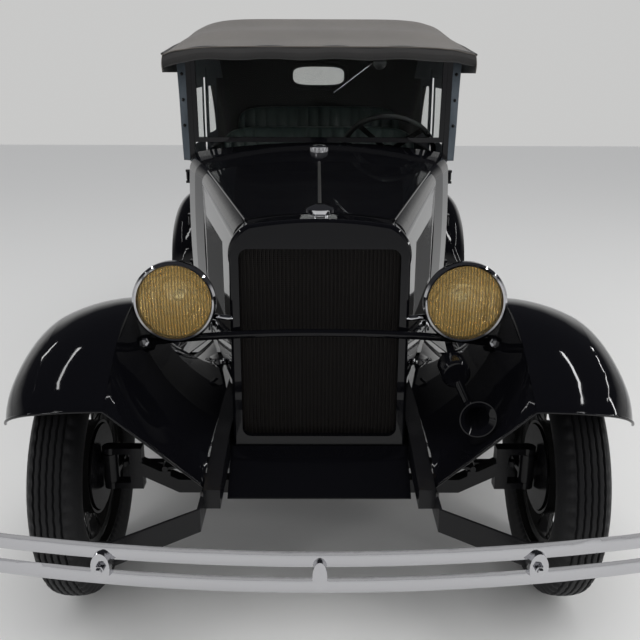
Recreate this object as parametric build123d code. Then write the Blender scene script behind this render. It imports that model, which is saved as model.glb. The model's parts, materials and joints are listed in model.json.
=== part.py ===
"""Open touring car of the early nineteen-thirties with its cloth top raised.

Millimetres. +Z is up, the car faces -Y and its left side is +X. The origin is the
centre of the footprint on the ground. Along the car, places are given as stations:
the distance behind the front axle, turned into Y by y_at().
"""
from build123d import *
import math
import os

# Whole car
OVERALL_LENGTH = 3875.0
FRONT_OVERHANG = 640.0
WHEELBASE = 2630.0
TRACK = 1422.0
FENDER_HALF = 855.0
FRONT_AXLE_Y = FRONT_OVERHANG - OVERALL_LENGTH / 2
REAR_END = OVERALL_LENGTH - FRONT_OVERHANG
SEAT_GAP = 0.3            # how far two pieces that rest on each other stay apart
SWING_GAP = 7.5           # gap round a door
SHEET = 3.0               # pressed steel, fenders and hood

# Wheels
TYRE_R = 378.0
TYRE_SECTION = 142.0
RIM_R = 246.0
RIM_WIDTH = 100.0
SPOKES = 30
SPOKE_R = 3.2
HUB_R = 62.0
DRUM_FACE = 8.0           # outer face of the drum, out from the rim's middle plane
DRUM_R = 142.0
DRUM_WIDTH = 48.0
BORE_R = 19.0
SPINDLE_GAP = 0.05
KINGPIN_X = 640.0
KINGPIN_GAP = 0.05
ARM_LENGTH = 152.0
TIE_ROD_Z = 312.0
STEER_CLEAR = 2.0

# Frame
RAIL_X = 281.0
RAIL_WIDTH = 44.0
RAIL_TOP = 548.0
RAIL_DEPTH = 96.0
RAIL_WALL = 5.0
HORN_S = -360.0
HORN_TOP = 500.0
HORN_DEPTH = 54.0
FRAME_END_S = 3050.0

CRANK_BORE_R = 16.0
FRONT_MEMBER_LOW = 414.0
FRONT_EYE_Z = 380.0
REAR_MEMBER_LOW = 522.0
REAR_SPRING_S = WHEELBASE + 150.0
REAR_PERCH_S = WHEELBASE + 114.0
REAR_RISE = 62.0

# Radiator and hood
SHELL_HALF = 254.0
SHELL_BOTTOM = 478.0
SHELL_FOOT_GAP = 2.8      # the leaning shell stands that far over its cross-member
SHELL_SHOULDER = 1030.0
SHELL_CROWN = 1153.0
SHELL_REAR_S = 56.0
GRILLE_HALF = 226.0
GRILLE_BOTTOM = 510.0
GRILLE_TOP = 1070.0
GRILLE_FOOT_S = -63.0
GRILLE_HEAD_S = -47.0
FIN_PITCH = 11.0
CAP_TOP = 1186.0
CAP_S = 12.0              # the cap stays ahead of the hood's lifted edge
FUEL_CAP_S = 1141.0
HOOD_FRONT_S = 60.0
HOOD_REAR_S = 930.0
HOOD_LOW = 562.0
HOOD_SHOULDER = ((212.0, 1131.0), (432.0, 1166.0))    # x, z of the side hinge, front and rear
HOOD_CROWN = (1149.0, 1200.0)                         # z of the centre hinge, front and rear
HOOD_BULGE = (8.0, 11.0)
HOOD_KNEE = ((250.0, 1066.0), (459.0, 1110.0))        # x, z where the side turns upright
HOOD_FOOT = (252.0, 452.0)                            # x of the side's lower edge
LOUVRES = 22
LOUVRE_S = 330.0
LOUVRE_PITCH = 24.0
LOUVRE_Z = (760.0, 1010.0)
HINGE_ROD_R = 4.0
HINGE_GAP = 0.5

# Lamps
LAMP_X = 405.0
LAMP_Z = 924.0
LAMP_FACE_S = -74.0
LAMP_R = 117.0
LAMP_DEPTH = 150.0
LAMP_BAR_R = 11.0
HORN_PLACE = (370.0, -150.0, 755.0)    # x, station, z of its motor
HORN_MOUTH = (406.0, -330.0, 688.0)    # x, station, z of its bell
HORN_R = 48.0
HORN_AIM = (0.0, 0.993, -0.118)        # from the mouth back along the bell
LAMP_BAR_END = (516.0, 2.0, 778.0)    # x, station, z
LAMP_BAR_MID = (-92.0, 842.0)         # station, z

# Body
COWL_FRONT_S = 936.0
BODY_FRONT_S = 1336.0
BODY_REAR_S = 3005.0
SILL_Z = 570.0
WAIST_Z = 860.0
BELT_Z = 1150.0
WALL = 36.0
FLOOR_Z = 572.0
FLOOR_THICK = 18.0
FLOOR_RISE = 66.0
FOOTWELL_TOP = 1060.0
DOOR_SILL_Z = 588.0
FRONT_DOOR_S = (1342.0, 1950.0)
REAR_DOOR_S = (2000.0, 2452.0)
FRONT_SEAT_TOP = 1260.0
REAR_SEAT_TOP = 1330.0
HINGE_OUT = 9.0           # door hinge axis outside the skin
HINGE_PIN_R = 5.0
HINGE_Z = (690.0, 900.0, 1096.0)

# Engine and steering
CRANK_Z = 470.0
ENGINE_HALF = 140.0
GEARBOX_END_S = 1064.0
COLUMN_FOOT = (226.0, 715.0, 590.0)   # x, station, z
WHEEL_HUB = (318.0, 1490.0, 1190.0)
STEERING_R = 216.0
COLUMN_R = 19.0
HUB_BACK = 21.0           # how far the wheel's hub reaches down the column

# Spare wheel
SPARE_S = 3132.0
SPARE_Z = 800.0

# Windshield
SHIELD_S = 1312.0
SHIELD_HALF = 540.0
SHIELD_LOW = 1212.0
SHIELD_HIGH = 1612.0
SHIELD_RAKE = 4.5         # degrees
SHIELD_BAR = 20.0
GLASS_THICK = 6.0

# Top
TOP_HALF = 657.0
TOP_WALL = 8.0
TOP_BOW_Z = 1768.0
HEADER_S = 1256.0
VALANCE_Z = 1532.0
QUARTER_S = 2466.0

# Fenders
FENDER_IN = 530.0
FENDER_CROWN_R = 448.0
FENDER_CROWN_S = -20.0
FENDER_CROWN_Z = 461.0
LIP_ANGLE = -53.0         # of the front fender's lip, from the top of its arch
LIP_BOW = -0.02           # of the skirt's front edge, inwards where negative
REAR_FENDER_R = 462.0
REAR_FENDER_Z = 418.0
REAR_FENDER_IN = 604.0
BOARD_S = (716.0, 2206.0)
BOARD_X = (604.0, 836.0)
BOARD_TOP = 408.0
BOARD_THICK = 20.0
MAT_X = (630.0, 822.0)
MAT_S = (800.0, 2110.0)
MAT_THICK = 3.0

# Bumpers
CLAMP_PROUD = 14.0
BUMPER_FACE_S = CLAMP_PROUD - FRONT_OVERHANG
BUMPER_HALF = 795.0
BUMPER_SWEEP = 82.0
BAR_HEIGHT = 42.0
BAR_GAP = 28.0
BAR_THICK = 8.0
BUMPER_Z = 437.0


def y_at(s):
    """Y of a station that lies s behind the front axle."""
    return FRONT_AXLE_Y + s


def other(part):
    """The right-hand copy of a left-hand piece."""
    return mirror(part, about=Plane.YZ)


def face_of(outline):
    """A flat face from a closed outline, facing up its own plane."""
    face = make_face(outline)
    return face if face.face().normal_at().Z > 0 else -face.face()


def side_plate(outline, x_from, x_to):
    """A closed outline drawn in (Y, Z), made solid from x_from to x_to."""
    plane = Plane(origin=(x_from, 0, 0), x_dir=(0, 1, 0), z_dir=(1, 0, 0))
    return extrude(plane * face_of(outline), x_to - x_from)


def front_plate(outline, s_from, s_to):
    """A closed outline drawn in (X, Z), made solid from station s_from to s_to."""
    plane = Plane(origin=(0, y_at(s_to), 0), x_dir=(1, 0, 0), z_dir=(0, -1, 0))
    return extrude(plane * face_of(outline), s_to - s_from)


def plan_plate(outline, z_from, z_to):
    """A closed outline drawn in (X, Y), made solid from z_from to z_to."""
    return extrude(Plane.XY.offset(z_from) * face_of(outline), z_to - z_from)


def stations(points):
    """Corner points given as (station, z), closed into an outline in (Y, Z)."""
    return Polyline([(y_at(s), z) for s, z in points], close=True)


def block(x_span, s_span, z_span):
    """A plain box between two values along each axis."""
    size = [b - a for a, b in (x_span, s_span, z_span)]
    middle = [(a + b) / 2 for a, b in (x_span, s_span, z_span)]
    return Pos(middle[0], y_at(middle[1]), middle[2]) * Box(*size)


def rod(start, end, radius):
    """A round bar between two points given as (x, station, z)."""
    a = Vector(start[0], y_at(start[1]), start[2])
    b = Vector(end[0], y_at(end[1]), end[2])
    run = b - a
    return extrude(Plane(origin=a, z_dir=run) * Circle(radius), run.length)


def turned(profile, centre, axis):
    """A closed (along, radius) outline turned about an axis through centre."""
    plane = Plane(origin=centre, z_dir=axis)
    frame = Plane(origin=centre, x_dir=plane.x_dir, z_dir=plane.z_dir.cross(plane.x_dir) * -1)
    return revolve(frame * face_of(profile), Axis(centre, axis))


def disc_outline(rows):
    """Corner points (along, radius) closed into an outline for turned()."""
    return Polyline([(radius, along) for along, radius in rows], close=True)


def wheel(side, drum=True):
    """Wire wheel with rim, spokes, hub and brake drum; side is +1 left, -1 right."""
    across = (side, 0, 0)
    # columns: distance outwards from the rim's middle plane, radius
    rim = [
        (-RIM_WIDTH / 2, RIM_R), (-RIM_WIDTH / 2, RIM_R - 6), (-30, RIM_R - 12), (-24, RIM_R - 28),
        (24, RIM_R - 28), (30, RIM_R - 12), (RIM_WIDTH / 2, RIM_R - 6), (RIM_WIDTH / 2, RIM_R),
        (34, RIM_R), (27, RIM_R - 20), (-27, RIM_R - 20), (-34, RIM_R),
    ]
    face = DRUM_FACE
    hub = [(face - 8, BORE_R), (face - 8, HUB_R + 14), (face + 8, HUB_R + 14), (face + 18, HUB_R - 4),
           (face + 40, HUB_R - 10), (face + 50, 42), (face + 50, BORE_R)]
    cap = [(face + 50, 0), (face + 50, 36), (face + 72, 32), (face + 80, 18), (face + 82, 0)]
    shoe = [(face - DRUM_WIDTH, DRUM_R - 8), (face - DRUM_WIDTH, DRUM_R), (face - 6, DRUM_R),
            (face, DRUM_R - 8), (face, BORE_R), (face - 8, BORE_R), (face - 8, DRUM_R - 8)]
    body = turned(disc_outline(rim), (0, 0, 0), across)
    for rows in (hub, cap, shoe) if drum else (hub, cap):
        body += turned(disc_outline(rows), (0, 0, 0), across)
    step = 360.0 / SPOKES
    tip_r = RIM_R - 24
    for i in range(SPOKES):
        # columns: where the spoke leaves the hub, radius there, lead angle, where it meets the rim
        out, hub_r, lead, rim_x = ((face + 42, HUB_R - 12, 22, 10), (face + 4, HUB_R + 10, -22, -10))[i % 2]
        angle = math.radians(i * step)
        foot = math.radians(i * step + lead)
        a = Vector(side * out, hub_r * math.cos(foot), hub_r * math.sin(foot))
        b = Vector(side * rim_x, tip_r * math.cos(angle), tip_r * math.sin(angle))
        body += extrude(Plane(origin=a, z_dir=b - a) * RegularPolygon(SPOKE_R, 6), (b - a).length)
    return body


def tyre():
    """Tall narrow balloon tyre with a flat ribbed crown."""
    half = TYRE_SECTION / 2
    tread = 48.0
    crown = TYRE_R - 9
    seat = RIM_R + SEAT_GAP
    left = ThreePointArc((crown, -tread), ((crown + seat) / 2, -half), (seat, -40))
    over = ThreePointArc((crown, -tread), (TYRE_R, 0), (crown, tread))
    right = ThreePointArc((crown, tread), ((crown + seat) / 2, half), (seat, 40))
    inner = Polyline((seat, -40), (seat, 40))
    return turned(Curve() + [left, over, right, inner], (0, 0, 0), (1, 0, 0))


def wheel_place(s, side):
    """Where a wheel stands."""
    return Pos(side * TRACK / 2, y_at(s), TYRE_R)


def knuckle(side):
    """Steering knuckle: kingpin boss, spindle, backing plate and steering arm."""
    pin = (side * KINGPIN_X, y_at(0), TYRE_R)
    boss = Pos(*pin) * (Cylinder(24, 92) - Cylinder(11 + KINGPIN_GAP, 200))
    wheel_x = TRACK / 2
    spindle = rod((side * (KINGPIN_X + 14), 0, TYRE_R), (side * (wheel_x + DRUM_FACE + 44), 0, TYRE_R),
                  BORE_R - SPINDLE_GAP)
    spindle += rod((side * (KINGPIN_X + 14), 0, TYRE_R), (side * (wheel_x - 6), 0, TYRE_R), 30)
    plate_x = wheel_x + DRUM_FACE - DRUM_WIDTH - STEER_CLEAR
    plate = rod((side * (plate_x - 4), 0, TYRE_R), (side * plate_x, 0, TYRE_R), DRUM_R - 12)
    x = side * KINGPIN_X
    low = TYRE_R - 40
    arm = block(sorted((x - 11, x + 11)), (14, ARM_LENGTH), (low - 8, low + 8))
    arm += Pos(x, y_at(ARM_LENGTH), low) * Cylinder(16, 16)
    arm += Pos(x, y_at(ARM_LENGTH), (low + TIE_ROD_Z) / 2 - 6) * Cylinder(7, low - TIE_ROD_Z + 20)
    clear = Pos(*pin) * Cylinder(11 + KINGPIN_GAP, 92)
    return boss + (spindle + plate + arm - clear)


def tie_rod():
    """Track rod between the two steering arms, an eye round each stud."""
    s = ARM_LENGTH
    bar = rod((-KINGPIN_X + 18, s, TIE_ROD_Z), (KINGPIN_X - 18, s, TIE_ROD_Z), 11)
    for side in (1, -1):
        eye = Cylinder(20, 16) - Cylinder(7 + 0.5, 40)
        bar += Pos(side * KINGPIN_X, y_at(s), TIE_ROD_Z) * eye
    return bar


def front_axle():
    """Forged beam, bowed down in the middle, with a yoke and kingpin at each end."""
    z_mid = TYRE_R - 60
    half = KINGPIN_X - 96
    beam = front_plate(Polyline((-half, TYRE_R - 22), (-430, z_mid - 20), (430, z_mid - 20),
                                (half, TYRE_R - 22), (half, TYRE_R + 22), (430, z_mid + 24),
                                (-430, z_mid + 24), (-half, TYRE_R + 22), close=True), -22, 22)
    for side in (1, -1):
        x = side * KINGPIN_X
        inner = side * (KINGPIN_X - 100)
        for z in (TYRE_R + 58, TYRE_R - 58):
            beam += block(sorted((inner, x)), (-20, 20), (z - 10, z + 10))
            beam += Pos(x, y_at(0), z) * Cylinder(23, 20)
        beam += block(sorted((inner, side * (KINGPIN_X - 62))), (-20, 20), (TYRE_R - 68, TYRE_R + 68))
        beam += Pos(x, y_at(0), TYRE_R) * Cylinder(11, 136)
        beam += block(sorted((side * 455, side * 485)), (-22, 22), (z_mid + 10, FRONT_EYE_Z - 9 - SEAT_GAP))
    return beam


def leaf_spring(s, z_crown, half, drop, leaves, width):
    """Cross spring: an arched pack whose leaves get shorter downwards."""
    z = z_crown
    pack = None
    for i in range(leaves):
        reach = half * (1 - 0.15 * i)
        sag = drop * (reach / half) ** 2
        top = ThreePointArc((-reach, z - sag), (0, z), (reach, z - sag))
        low = ThreePointArc((-reach, z - sag - 8), (0, z - 8), (reach, z - sag - 8))
        ends = [Line((-reach, z - sag), (-reach, z - sag - 8)), Line((reach, z - sag), (reach, z - sag - 8))]
        leaf = front_plate(Curve() + [top, low] + ends, s - width / 2, s + width / 2)
        pack = leaf if pack is None else pack + leaf
        z -= 6.8
    return pack


def springs():
    """Front and rear cross springs with their shackles."""
    front = leaf_spring(0, FRONT_MEMBER_LOW - SEAT_GAP, 470, FRONT_MEMBER_LOW - FRONT_EYE_Z - 4, 6, 44)
    rear = leaf_spring(REAR_SPRING_S, REAR_MEMBER_LOW - SEAT_GAP, 500, 92, 7, 56)
    eye = REAR_MEMBER_LOW - 96
    for side in (1, -1):
        front += rod((side * 470, -26, FRONT_EYE_Z), (side * 470, 26, FRONT_EYE_Z), 9)
        rear += rod((side * 500, REAR_PERCH_S + SEAT_GAP, eye), (side * 500, REAR_SPRING_S + 32, eye), 12)
    return Compound(children=[front, rear])


def rear_axle():
    """Banjo axle with tapered tubes, torque tube and brake backing plates."""
    centre = (0, y_at(WHEELBASE), TYRE_R)
    wheel_x = TRACK / 2
    reach = wheel_x + DRUM_FACE - DRUM_WIDTH - STEER_CLEAR
    rows = [(-reach, 0), (-reach, 34), (-150, 48), (-110, 70), (110, 70), (150, 48), (reach, 34), (reach, 0)]
    axle = turned(disc_outline(rows), centre, (1, 0, 0))
    banjo = [(-92, 0), (-92, 70), (-60, 128), (0, 146), (60, 128), (92, 70), (92, 0)]
    axle += turned(disc_outline(banjo), centre, (1, 0, 0))
    for side in (1, -1):
        axle += rod((side * (reach - 4), WHEELBASE, TYRE_R), (side * reach, WHEELBASE, TYRE_R), DRUM_R - 12)
        axle += rod((side * (reach - 8), WHEELBASE, TYRE_R),
                    (side * (wheel_x + DRUM_FACE + 44), WHEELBASE, TYRE_R), BORE_R - SPINDLE_GAP)
        x = side * 500
        axle += block((x - 16, x + 16), (WHEELBASE + 10, REAR_PERCH_S), (TYRE_R - 20, TYRE_R + 20))
        axle += block((x - 16, x + 16), (WHEELBASE + 60, REAR_PERCH_S), (TYRE_R, REAR_MEMBER_LOW - 84))
    length = WHEELBASE - 110 - GEARBOX_END_S - 6
    slope = (CRANK_Z - 24 - TYRE_R) / length
    tube = [(0, 0), (0, 66), (150, 40), (length, 32), (length, 0)]
    axle += turned(disc_outline(tube), (0, y_at(WHEELBASE - 110), TYRE_R), (0, -1, slope))
    return axle


def engine():
    """Four-cylinder engine with gearbox, as one plain block at its real place."""
    half = ENGINE_HALF
    bulk = block((-half, half), (150, 760), (CRANK_Z, 900))
    bulk += block((40 - half, half - 40), (172, 700), (CRANK_Z - 140, CRANK_Z))
    end = GEARBOX_END_S - 760
    rows = [(0, 0), (0, half), (90, half), (165, 90), (end, 84), (end, 0)]
    bulk += turned(disc_outline(rows), (0, y_at(760), CRANK_Z), (0, 1, 0))
    reach = RAIL_X + RAIL_WIDTH / 2 - RAIL_WALL - SEAT_GAP
    return bulk + block((-reach, reach), (560, 616), (480, 536))


def chassis_frame():
    """Two channel rails, raised over the rear axle, with cross members between them."""
    top, low, rise, wall = RAIL_TOP, RAIL_TOP - RAIL_DEPTH, REAR_RISE, RAIL_WALL
    tail = SILL_Z - 14
    outer = [
        (HORN_S, HORN_TOP - HORN_DEPTH), (HORN_S, HORN_TOP), (-120, top - 6), (60, top), (2180, top),
        (2400, top + rise), (2840, top + rise), (2950, tail), (FRAME_END_S, tail), (FRAME_END_S, tail - 58),
        (2950, tail - 62), (2840, top + rise - 74), (2420, top + rise - 74), (2200, low), (60, low),
        (-120, low + 8),
    ]
    rail = side_plate(stations(outer), RAIL_X - RAIL_WIDTH / 2, RAIL_X + RAIL_WIDTH / 2)
    pocket = stations([(-100, low + 8 + wall), (-100, top - 6 - wall), (60, top - wall), (2176, top - wall),
                       (2396, top + rise - wall), (2836, top + rise - wall), (2836, top + rise - 74 + wall),
                       (2424, top + rise - 74 + wall), (2204, low + wall), (60, low + wall)])
    rail -= side_plate(pocket, RAIL_X - RAIL_WIDTH, RAIL_X + RAIL_WIDTH / 2 - wall)
    frame = rail + other(rail)
    inner = RAIL_X - RAIL_WIDTH / 2 + wall + 12
    # columns: station, depth along the car, top, bottom
    members = [(-20, 90, SHELL_BOTTOM - SHELL_FOOT_GAP, FRONT_MEMBER_LOW), (1120, 60, top, top - 60),
               (2150, 56, top, low + 20), (REAR_SPRING_S, 84, top + rise, REAR_MEMBER_LOW),
               (FRAME_END_S - 22, 44, tail, tail - 50)]
    for s, depth, high, bottom in members:
        frame += block((-inner, inner), (s - depth / 2, s + depth / 2), (bottom, high))
    post = block((-45, 45), (FRAME_END_S - 22, FRAME_END_S - 4), (tail - 20, SPARE_Z + 45))
    post += rod((0, FRAME_END_S - 10, SPARE_Z), (0, SPARE_S + 40, SPARE_Z), BORE_R - SPINDLE_GAP)
    crank_hole = rod((0, -200, CRANK_Z - 24), (0, 100, CRANK_Z - 24), CRANK_BORE_R)
    return frame - crank_hole + post


def shell_outline(grow, bottom):
    """Front outline of the radiator shell, grown or shrunk all round."""
    half = SHELL_HALF + grow
    crown = SHELL_CROWN + grow
    corner = crown - 17
    turn, ease = 52.0, 11.0
    left = Line((-half, bottom), (-half, SHELL_SHOULDER))
    low_corner = ThreePointArc((-half, SHELL_SHOULDER), (-half + ease, corner - 36), (-half + turn, corner))
    over = ThreePointArc((-half + turn, corner), (0, crown), (half - turn, corner))
    high_corner = ThreePointArc((half - turn, corner), (half - ease, corner - 36), (half, SHELL_SHOULDER))
    right = Line((half, SHELL_SHOULDER), (half, bottom))
    foot = Line((half, bottom), (-half, bottom))
    return Curve() + [left, low_corner, over, high_corner, right, foot]


def leaned(part):
    """A piece of the radiator tipped back about the foot of its front face."""
    angle = math.degrees(math.atan2(GRILLE_HEAD_S - GRILLE_FOOT_S, GRILLE_TOP - GRILLE_BOTTOM))
    return part.rotate(Axis((0, y_at(GRILLE_FOOT_S), GRILLE_BOTTOM), (-1, 0, 0)), angle)


def radiator_shell():
    """Pressed surround of the radiator, its front edge rounded and its back open."""
    front = GRILLE_FOOT_S
    # columns: distance behind the front face, how far the edge is drawn in there
    faces = []
    for back, draw in ((0, 9), (2, 4.5), (6, 1.2), (12, 0)):
        plane = Plane(origin=(0, y_at(front + back), 0), x_dir=(1, 0, 0), z_dir=(0, -1, 0))
        faces.append(plane * face_of(shell_outline(-draw, SHELL_BOTTOM + draw)))
    body = loft(faces, ruled=True)
    body += front_plate(shell_outline(0, SHELL_BOTTOM), front + 12, SHELL_REAR_S + 40)
    middle = (GRILLE_TOP + GRILLE_BOTTOM) / 2
    plane = Plane(origin=(0, y_at(front + 50), middle), x_dir=(1, 0, 0), z_dir=(0, -1, 0))
    body -= extrude(plane * RectangleRounded(2 * GRILLE_HALF, GRILLE_TOP - GRILLE_BOTTOM, 26), 80)
    body -= front_plate(shell_outline(-SHEET, SHELL_BOTTOM - 10), front + 22, 200)
    return leaned(body) - block((-400, 400), (SHELL_REAR_S, 300), (300, 1300))


def radiator_core():
    """Finned core behind the opening: one comb profile run up its height."""
    half = GRILLE_HALF + 18
    tip = GRILLE_FOOT_S + 22 + SEAT_GAP
    face, back = tip + 9, tip + 70
    count = int(2 * (half - 4) / FIN_PITCH)
    start = -count * FIN_PITCH / 2
    comb = [(-half, y_at(back)), (-half, y_at(face))]
    for i in range(count):
        x = start + (i + 0.5) * FIN_PITCH
        comb += [(x + dx, y_at(s)) for dx, s in ((-2.2, face), (-1.2, tip), (1.2, tip), (2.2, face))]
    comb += [(half, y_at(face)), (half, y_at(back))]
    core = plan_plate(Polyline(comb, close=True), SHELL_BOTTOM + 4, SHELL_CROWN)
    core &= front_plate(shell_outline(-SHEET - SEAT_GAP, SHELL_BOTTOM + 4), -120, 120)
    return leaned(core)


def radiator_apron():
    """Curved splash pan below the radiator, down between the frame horns."""
    half = RAIL_X - RAIL_WIDTH / 2 - SEAT_GAP
    top, back = SHELL_BOTTOM + 4, -66.0 - SEAT_GAP
    curve = ThreePointArc((y_at(back - 2), top), (y_at(-150), 440), (y_at(-215), 392))
    under = ThreePointArc((y_at(back), top - 4), (y_at(-147), 436), (y_at(-213), 388))
    ends = [Line(curve @ 0, under @ 0), Line(curve @ 1, under @ 1)]
    return side_plate(Curve() + [curve, under] + ends, -half, half)


def caps():
    """Radiator cap and, on the cowl, the ribbed fuel cap."""
    z0 = SHELL_CROWN - 8
    # columns: height over the foot of the cap, radius
    rows = [(0, 0), (0, 30), (12, 30), (15, 26), (18, 40), (28, 42), (34, 32),
            (CAP_TOP - z0, 12), (CAP_TOP - z0, 0)]
    cap = turned(disc_outline(rows), (0, y_at(CAP_S), z0), (0, 0, 1))
    cap -= leaned(front_plate(shell_outline(SEAT_GAP, SHELL_BOTTOM), -90, 120))
    z1 = cowl_crown(FUEL_CAP_S) - 8
    rows = [(0, 0), (0, 34), (26, 34), (33, 28), (35, 0)]
    fuel = turned(disc_outline(rows), (0, y_at(FUEL_CAP_S), z1), (0, 0, 1))
    for i in range(12):
        angle = math.radians(30 * i)
        fuel += Pos(34 * math.cos(angle), y_at(FUEL_CAP_S) + 34 * math.sin(angle), z1 + 14) * Box(5, 5, 19)
    return cap, fuel - cowl_bulk(-SEAT_GAP)


def along_hood(pair, s):
    """Value at a station, from its values at the front and rear of the hood."""
    share = (s - HOOD_FRONT_S) / (HOOD_REAR_S - HOOD_FRONT_S)
    return pair[0] + (pair[1] - pair[0]) * share


def hood_point(pair, s):
    """Point (x, z) at a station, from its places at the front and rear of the hood."""
    return along_hood((pair[0][0], pair[1][0]), s), along_hood((pair[0][1], pair[1][1]), s)


def hood_edge(s):
    """Half-width and height of the hood's shoulder hinge at a station."""
    return hood_point(HOOD_SHOULDER, s)


def hood_top_section(s):
    """Thin bowed strip from the centre hinge to the shoulder hinge."""
    x1, z1 = hood_edge(s)
    x0, z0 = HINGE_ROD_R + HINGE_GAP, along_hood(HOOD_CROWN, s)
    mid = ((x0 + x1) / 2, (z0 + z1) / 2 + along_hood(HOOD_BULGE, s))
    over = ThreePointArc((x0, z0), mid, (x1, z1 + 2))
    under = ThreePointArc((x0, z0 - SHEET), (mid[0], mid[1] - SHEET), (x1, z1 + 2 - SHEET))
    ends = [Line((x0, z0), (x0, z0 - SHEET)), Line((x1, z1 + 2), (x1, z1 + 2 - SHEET))]
    plane = Plane(origin=(0, y_at(s), 0), x_dir=(1, 0, 0), z_dir=(0, -1, 0))
    return plane * face_of(Curve() + [over, under] + ends)


def hood_top():
    """Left top panel of the hood with the hinge bead along its shoulder."""
    panel = loft([hood_top_section(HOOD_FRONT_S + 3), hood_top_section(HOOD_REAR_S - 3)], ruled=True)
    a = (*hood_edge(HOOD_FRONT_S + 3),)
    b = (*hood_edge(HOOD_REAR_S - 3),)
    return panel + rod((a[0], HOOD_FRONT_S + 3, a[1]), (b[0], HOOD_REAR_S - 3, b[1]), HINGE_ROD_R)


def hood_side_section(s):
    """Thin strip of the hood's side: rounded under its hinge, then straight down."""
    x, z = hood_edge(s)
    z -= HINGE_ROD_R + HINGE_GAP
    knee_x, knee_z = hood_point(HOOD_KNEE, s)
    low_x = along_hood(HOOD_FOOT, s)
    # columns: top, middle of the rounding, knee
    out = [(x, z), (x + 0.7 * (knee_x - x), z + 0.3 * (knee_z - z)), (knee_x, knee_z)]
    back = [(out[0][0] - SHEET, z - 1), (out[1][0] - 2.2, out[1][1] - 2), (knee_x - SHEET, knee_z)]
    lines = [Line(out[2], (low_x, HOOD_LOW)), Line((low_x, HOOD_LOW), (low_x - SHEET, HOOD_LOW)),
             Line((low_x - SHEET, HOOD_LOW), back[2]), Line(back[0], out[0])]
    plane = Plane(origin=(0, y_at(s), 0), x_dir=(1, 0, 0), z_dir=(0, -1, 0))
    return plane * face_of(Curve() + [ThreePointArc(*out), ThreePointArc(*back)] + lines)


def hood_side():
    """Left side panel of the hood, with its row of louvres."""
    panel = loft([hood_side_section(HOOD_FRONT_S + 4), hood_side_section(HOOD_REAR_S - 4)], ruled=True)
    for i in range(LOUVRES):
        s = LOUVRE_S + i * LOUVRE_PITCH
        x = (along_hood(HOOD_FOOT, s) + hood_point(HOOD_KNEE, s)[0]) / 2
        ridge = Polyline((x - 5, y_at(s)), (x + 6, y_at(s + 15)), (x - 3, y_at(s + 17)), close=True)
        panel += plan_plate(ridge, *LOUVRE_Z)
    return panel


def hood_rod():
    """Centre hinge of the hood, from the radiator shell to the cowl."""
    return rod((0, SHELL_REAR_S + SEAT_GAP, HOOD_CROWN[0]), (0, COWL_FRONT_S - SEAT_GAP, HOOD_CROWN[1]),
               HINGE_ROD_R)


def cowl_crown(s):
    """Height of the cowl's centre line, level with the hood where they meet."""
    share = (s - COWL_FRONT_S) / (BODY_FRONT_S - COWL_FRONT_S)
    return 1202.0 + share * 40.0


def cowl_section(s, shrink):
    """Cross-section of the cowl: bowed sides and an arched top."""
    share = (s - COWL_FRONT_S) / (BODY_FRONT_S - COWL_FRONT_S)
    swell = math.sin(math.pi / 2 * min(share, 1.0))
    half = 460.0 + swell * 110.0 - shrink
    low = half - 12
    shoulder = 1134.0 + 16.0 * share - shrink * 0.5
    turn = 36.0 + 14.0 * share
    crown = cowl_crown(s) - shrink
    left = ThreePointArc((-low, SILL_Z), (-half, WAIST_Z), (-half + 6, shoulder))
    over = ThreePointArc((-half + 34, shoulder + turn), (0, crown), (half - 34, shoulder + turn))
    right = ThreePointArc((half - 6, shoulder), (half, WAIST_Z), (low, SILL_Z))
    corners = [RadiusArc(left @ 1, over @ 0, 60), RadiusArc(over @ 1, right @ 0, 60)]
    foot = Line((low, SILL_Z), (-low, SILL_Z))
    plane = Plane(origin=(0, y_at(s), 0), x_dir=(1, 0, 0), z_dir=(0, -1, 0))
    return plane * face_of(Curve() + [left, over, right, foot] + corners)


def cowl_bulk(shrink, front=COWL_FRONT_S, rear=BODY_FRONT_S):
    """Bulk of the cowl, shrunk by a wall thickness."""
    return loft([cowl_section(s, shrink) for s in (front, 1060.0, 1200.0, rear)], ruled=True)


def cowl():
    """Scuttle between hood and doors: tank above, open footwell below."""
    well = cowl_bulk(WALL, COWL_FRONT_S + 18, BODY_FRONT_S + 2)
    body = cowl_bulk(0)
    body -= well & block((-600, 600), (900, 1400), (500, FOOTWELL_TOP))
    body -= well & block((-600, 600), (1296, 1400), (500, 1300))
    return body - column_tube(COLUMN_R + SEAT_GAP)


def plan_outline(front, rear, halves, corner):
    """Bowed plan outline with rounded rear corners; halves at the front, middle and rear."""
    half_f, half_m, half_r = halves
    left = ThreePointArc((-half_f, y_at(front)), (-half_m, y_at(2050)), (-half_r, y_at(rear - corner)))
    turn_l = TangentArc(left @ 1, (-half_r + corner, y_at(rear - 22)), tangent=left % 1)
    across = ThreePointArc(turn_l @ 1, (0, y_at(rear)), (half_r - corner, y_at(rear - 22)))
    right = ThreePointArc((half_r, y_at(rear - corner)), (half_m, y_at(2050)), (half_f, y_at(front)))
    turn_r = TangentArc(right @ 0, across @ 1, tangent=-(right % 0))
    return Curve() + [left, turn_l, across, turn_r, right, Line(right @ 1, left @ 0)]


def tub_outline(grow, inset):
    """Plan outline of the body behind the cowl."""
    halves = (570.0 + grow, 604.0 + grow, 566.0 + grow)
    return plan_outline(BODY_FRONT_S, BODY_REAR_S - inset, halves, 210.0)


def tub_shape(shrink):
    """Body bulk through three levels, shrunk by a wall thickness."""
    # columns: height, how far the side leans in there
    levels = ((SILL_Z, -12.0), (WAIST_Z, 0.0), (BELT_Z, -6.0))
    faces = []
    for z, lean in levels:
        face = face_of(tub_outline(lean - shrink, shrink - lean))
        faces.append(Plane.XY.offset(z) * face)
    return loft(faces)


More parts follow.
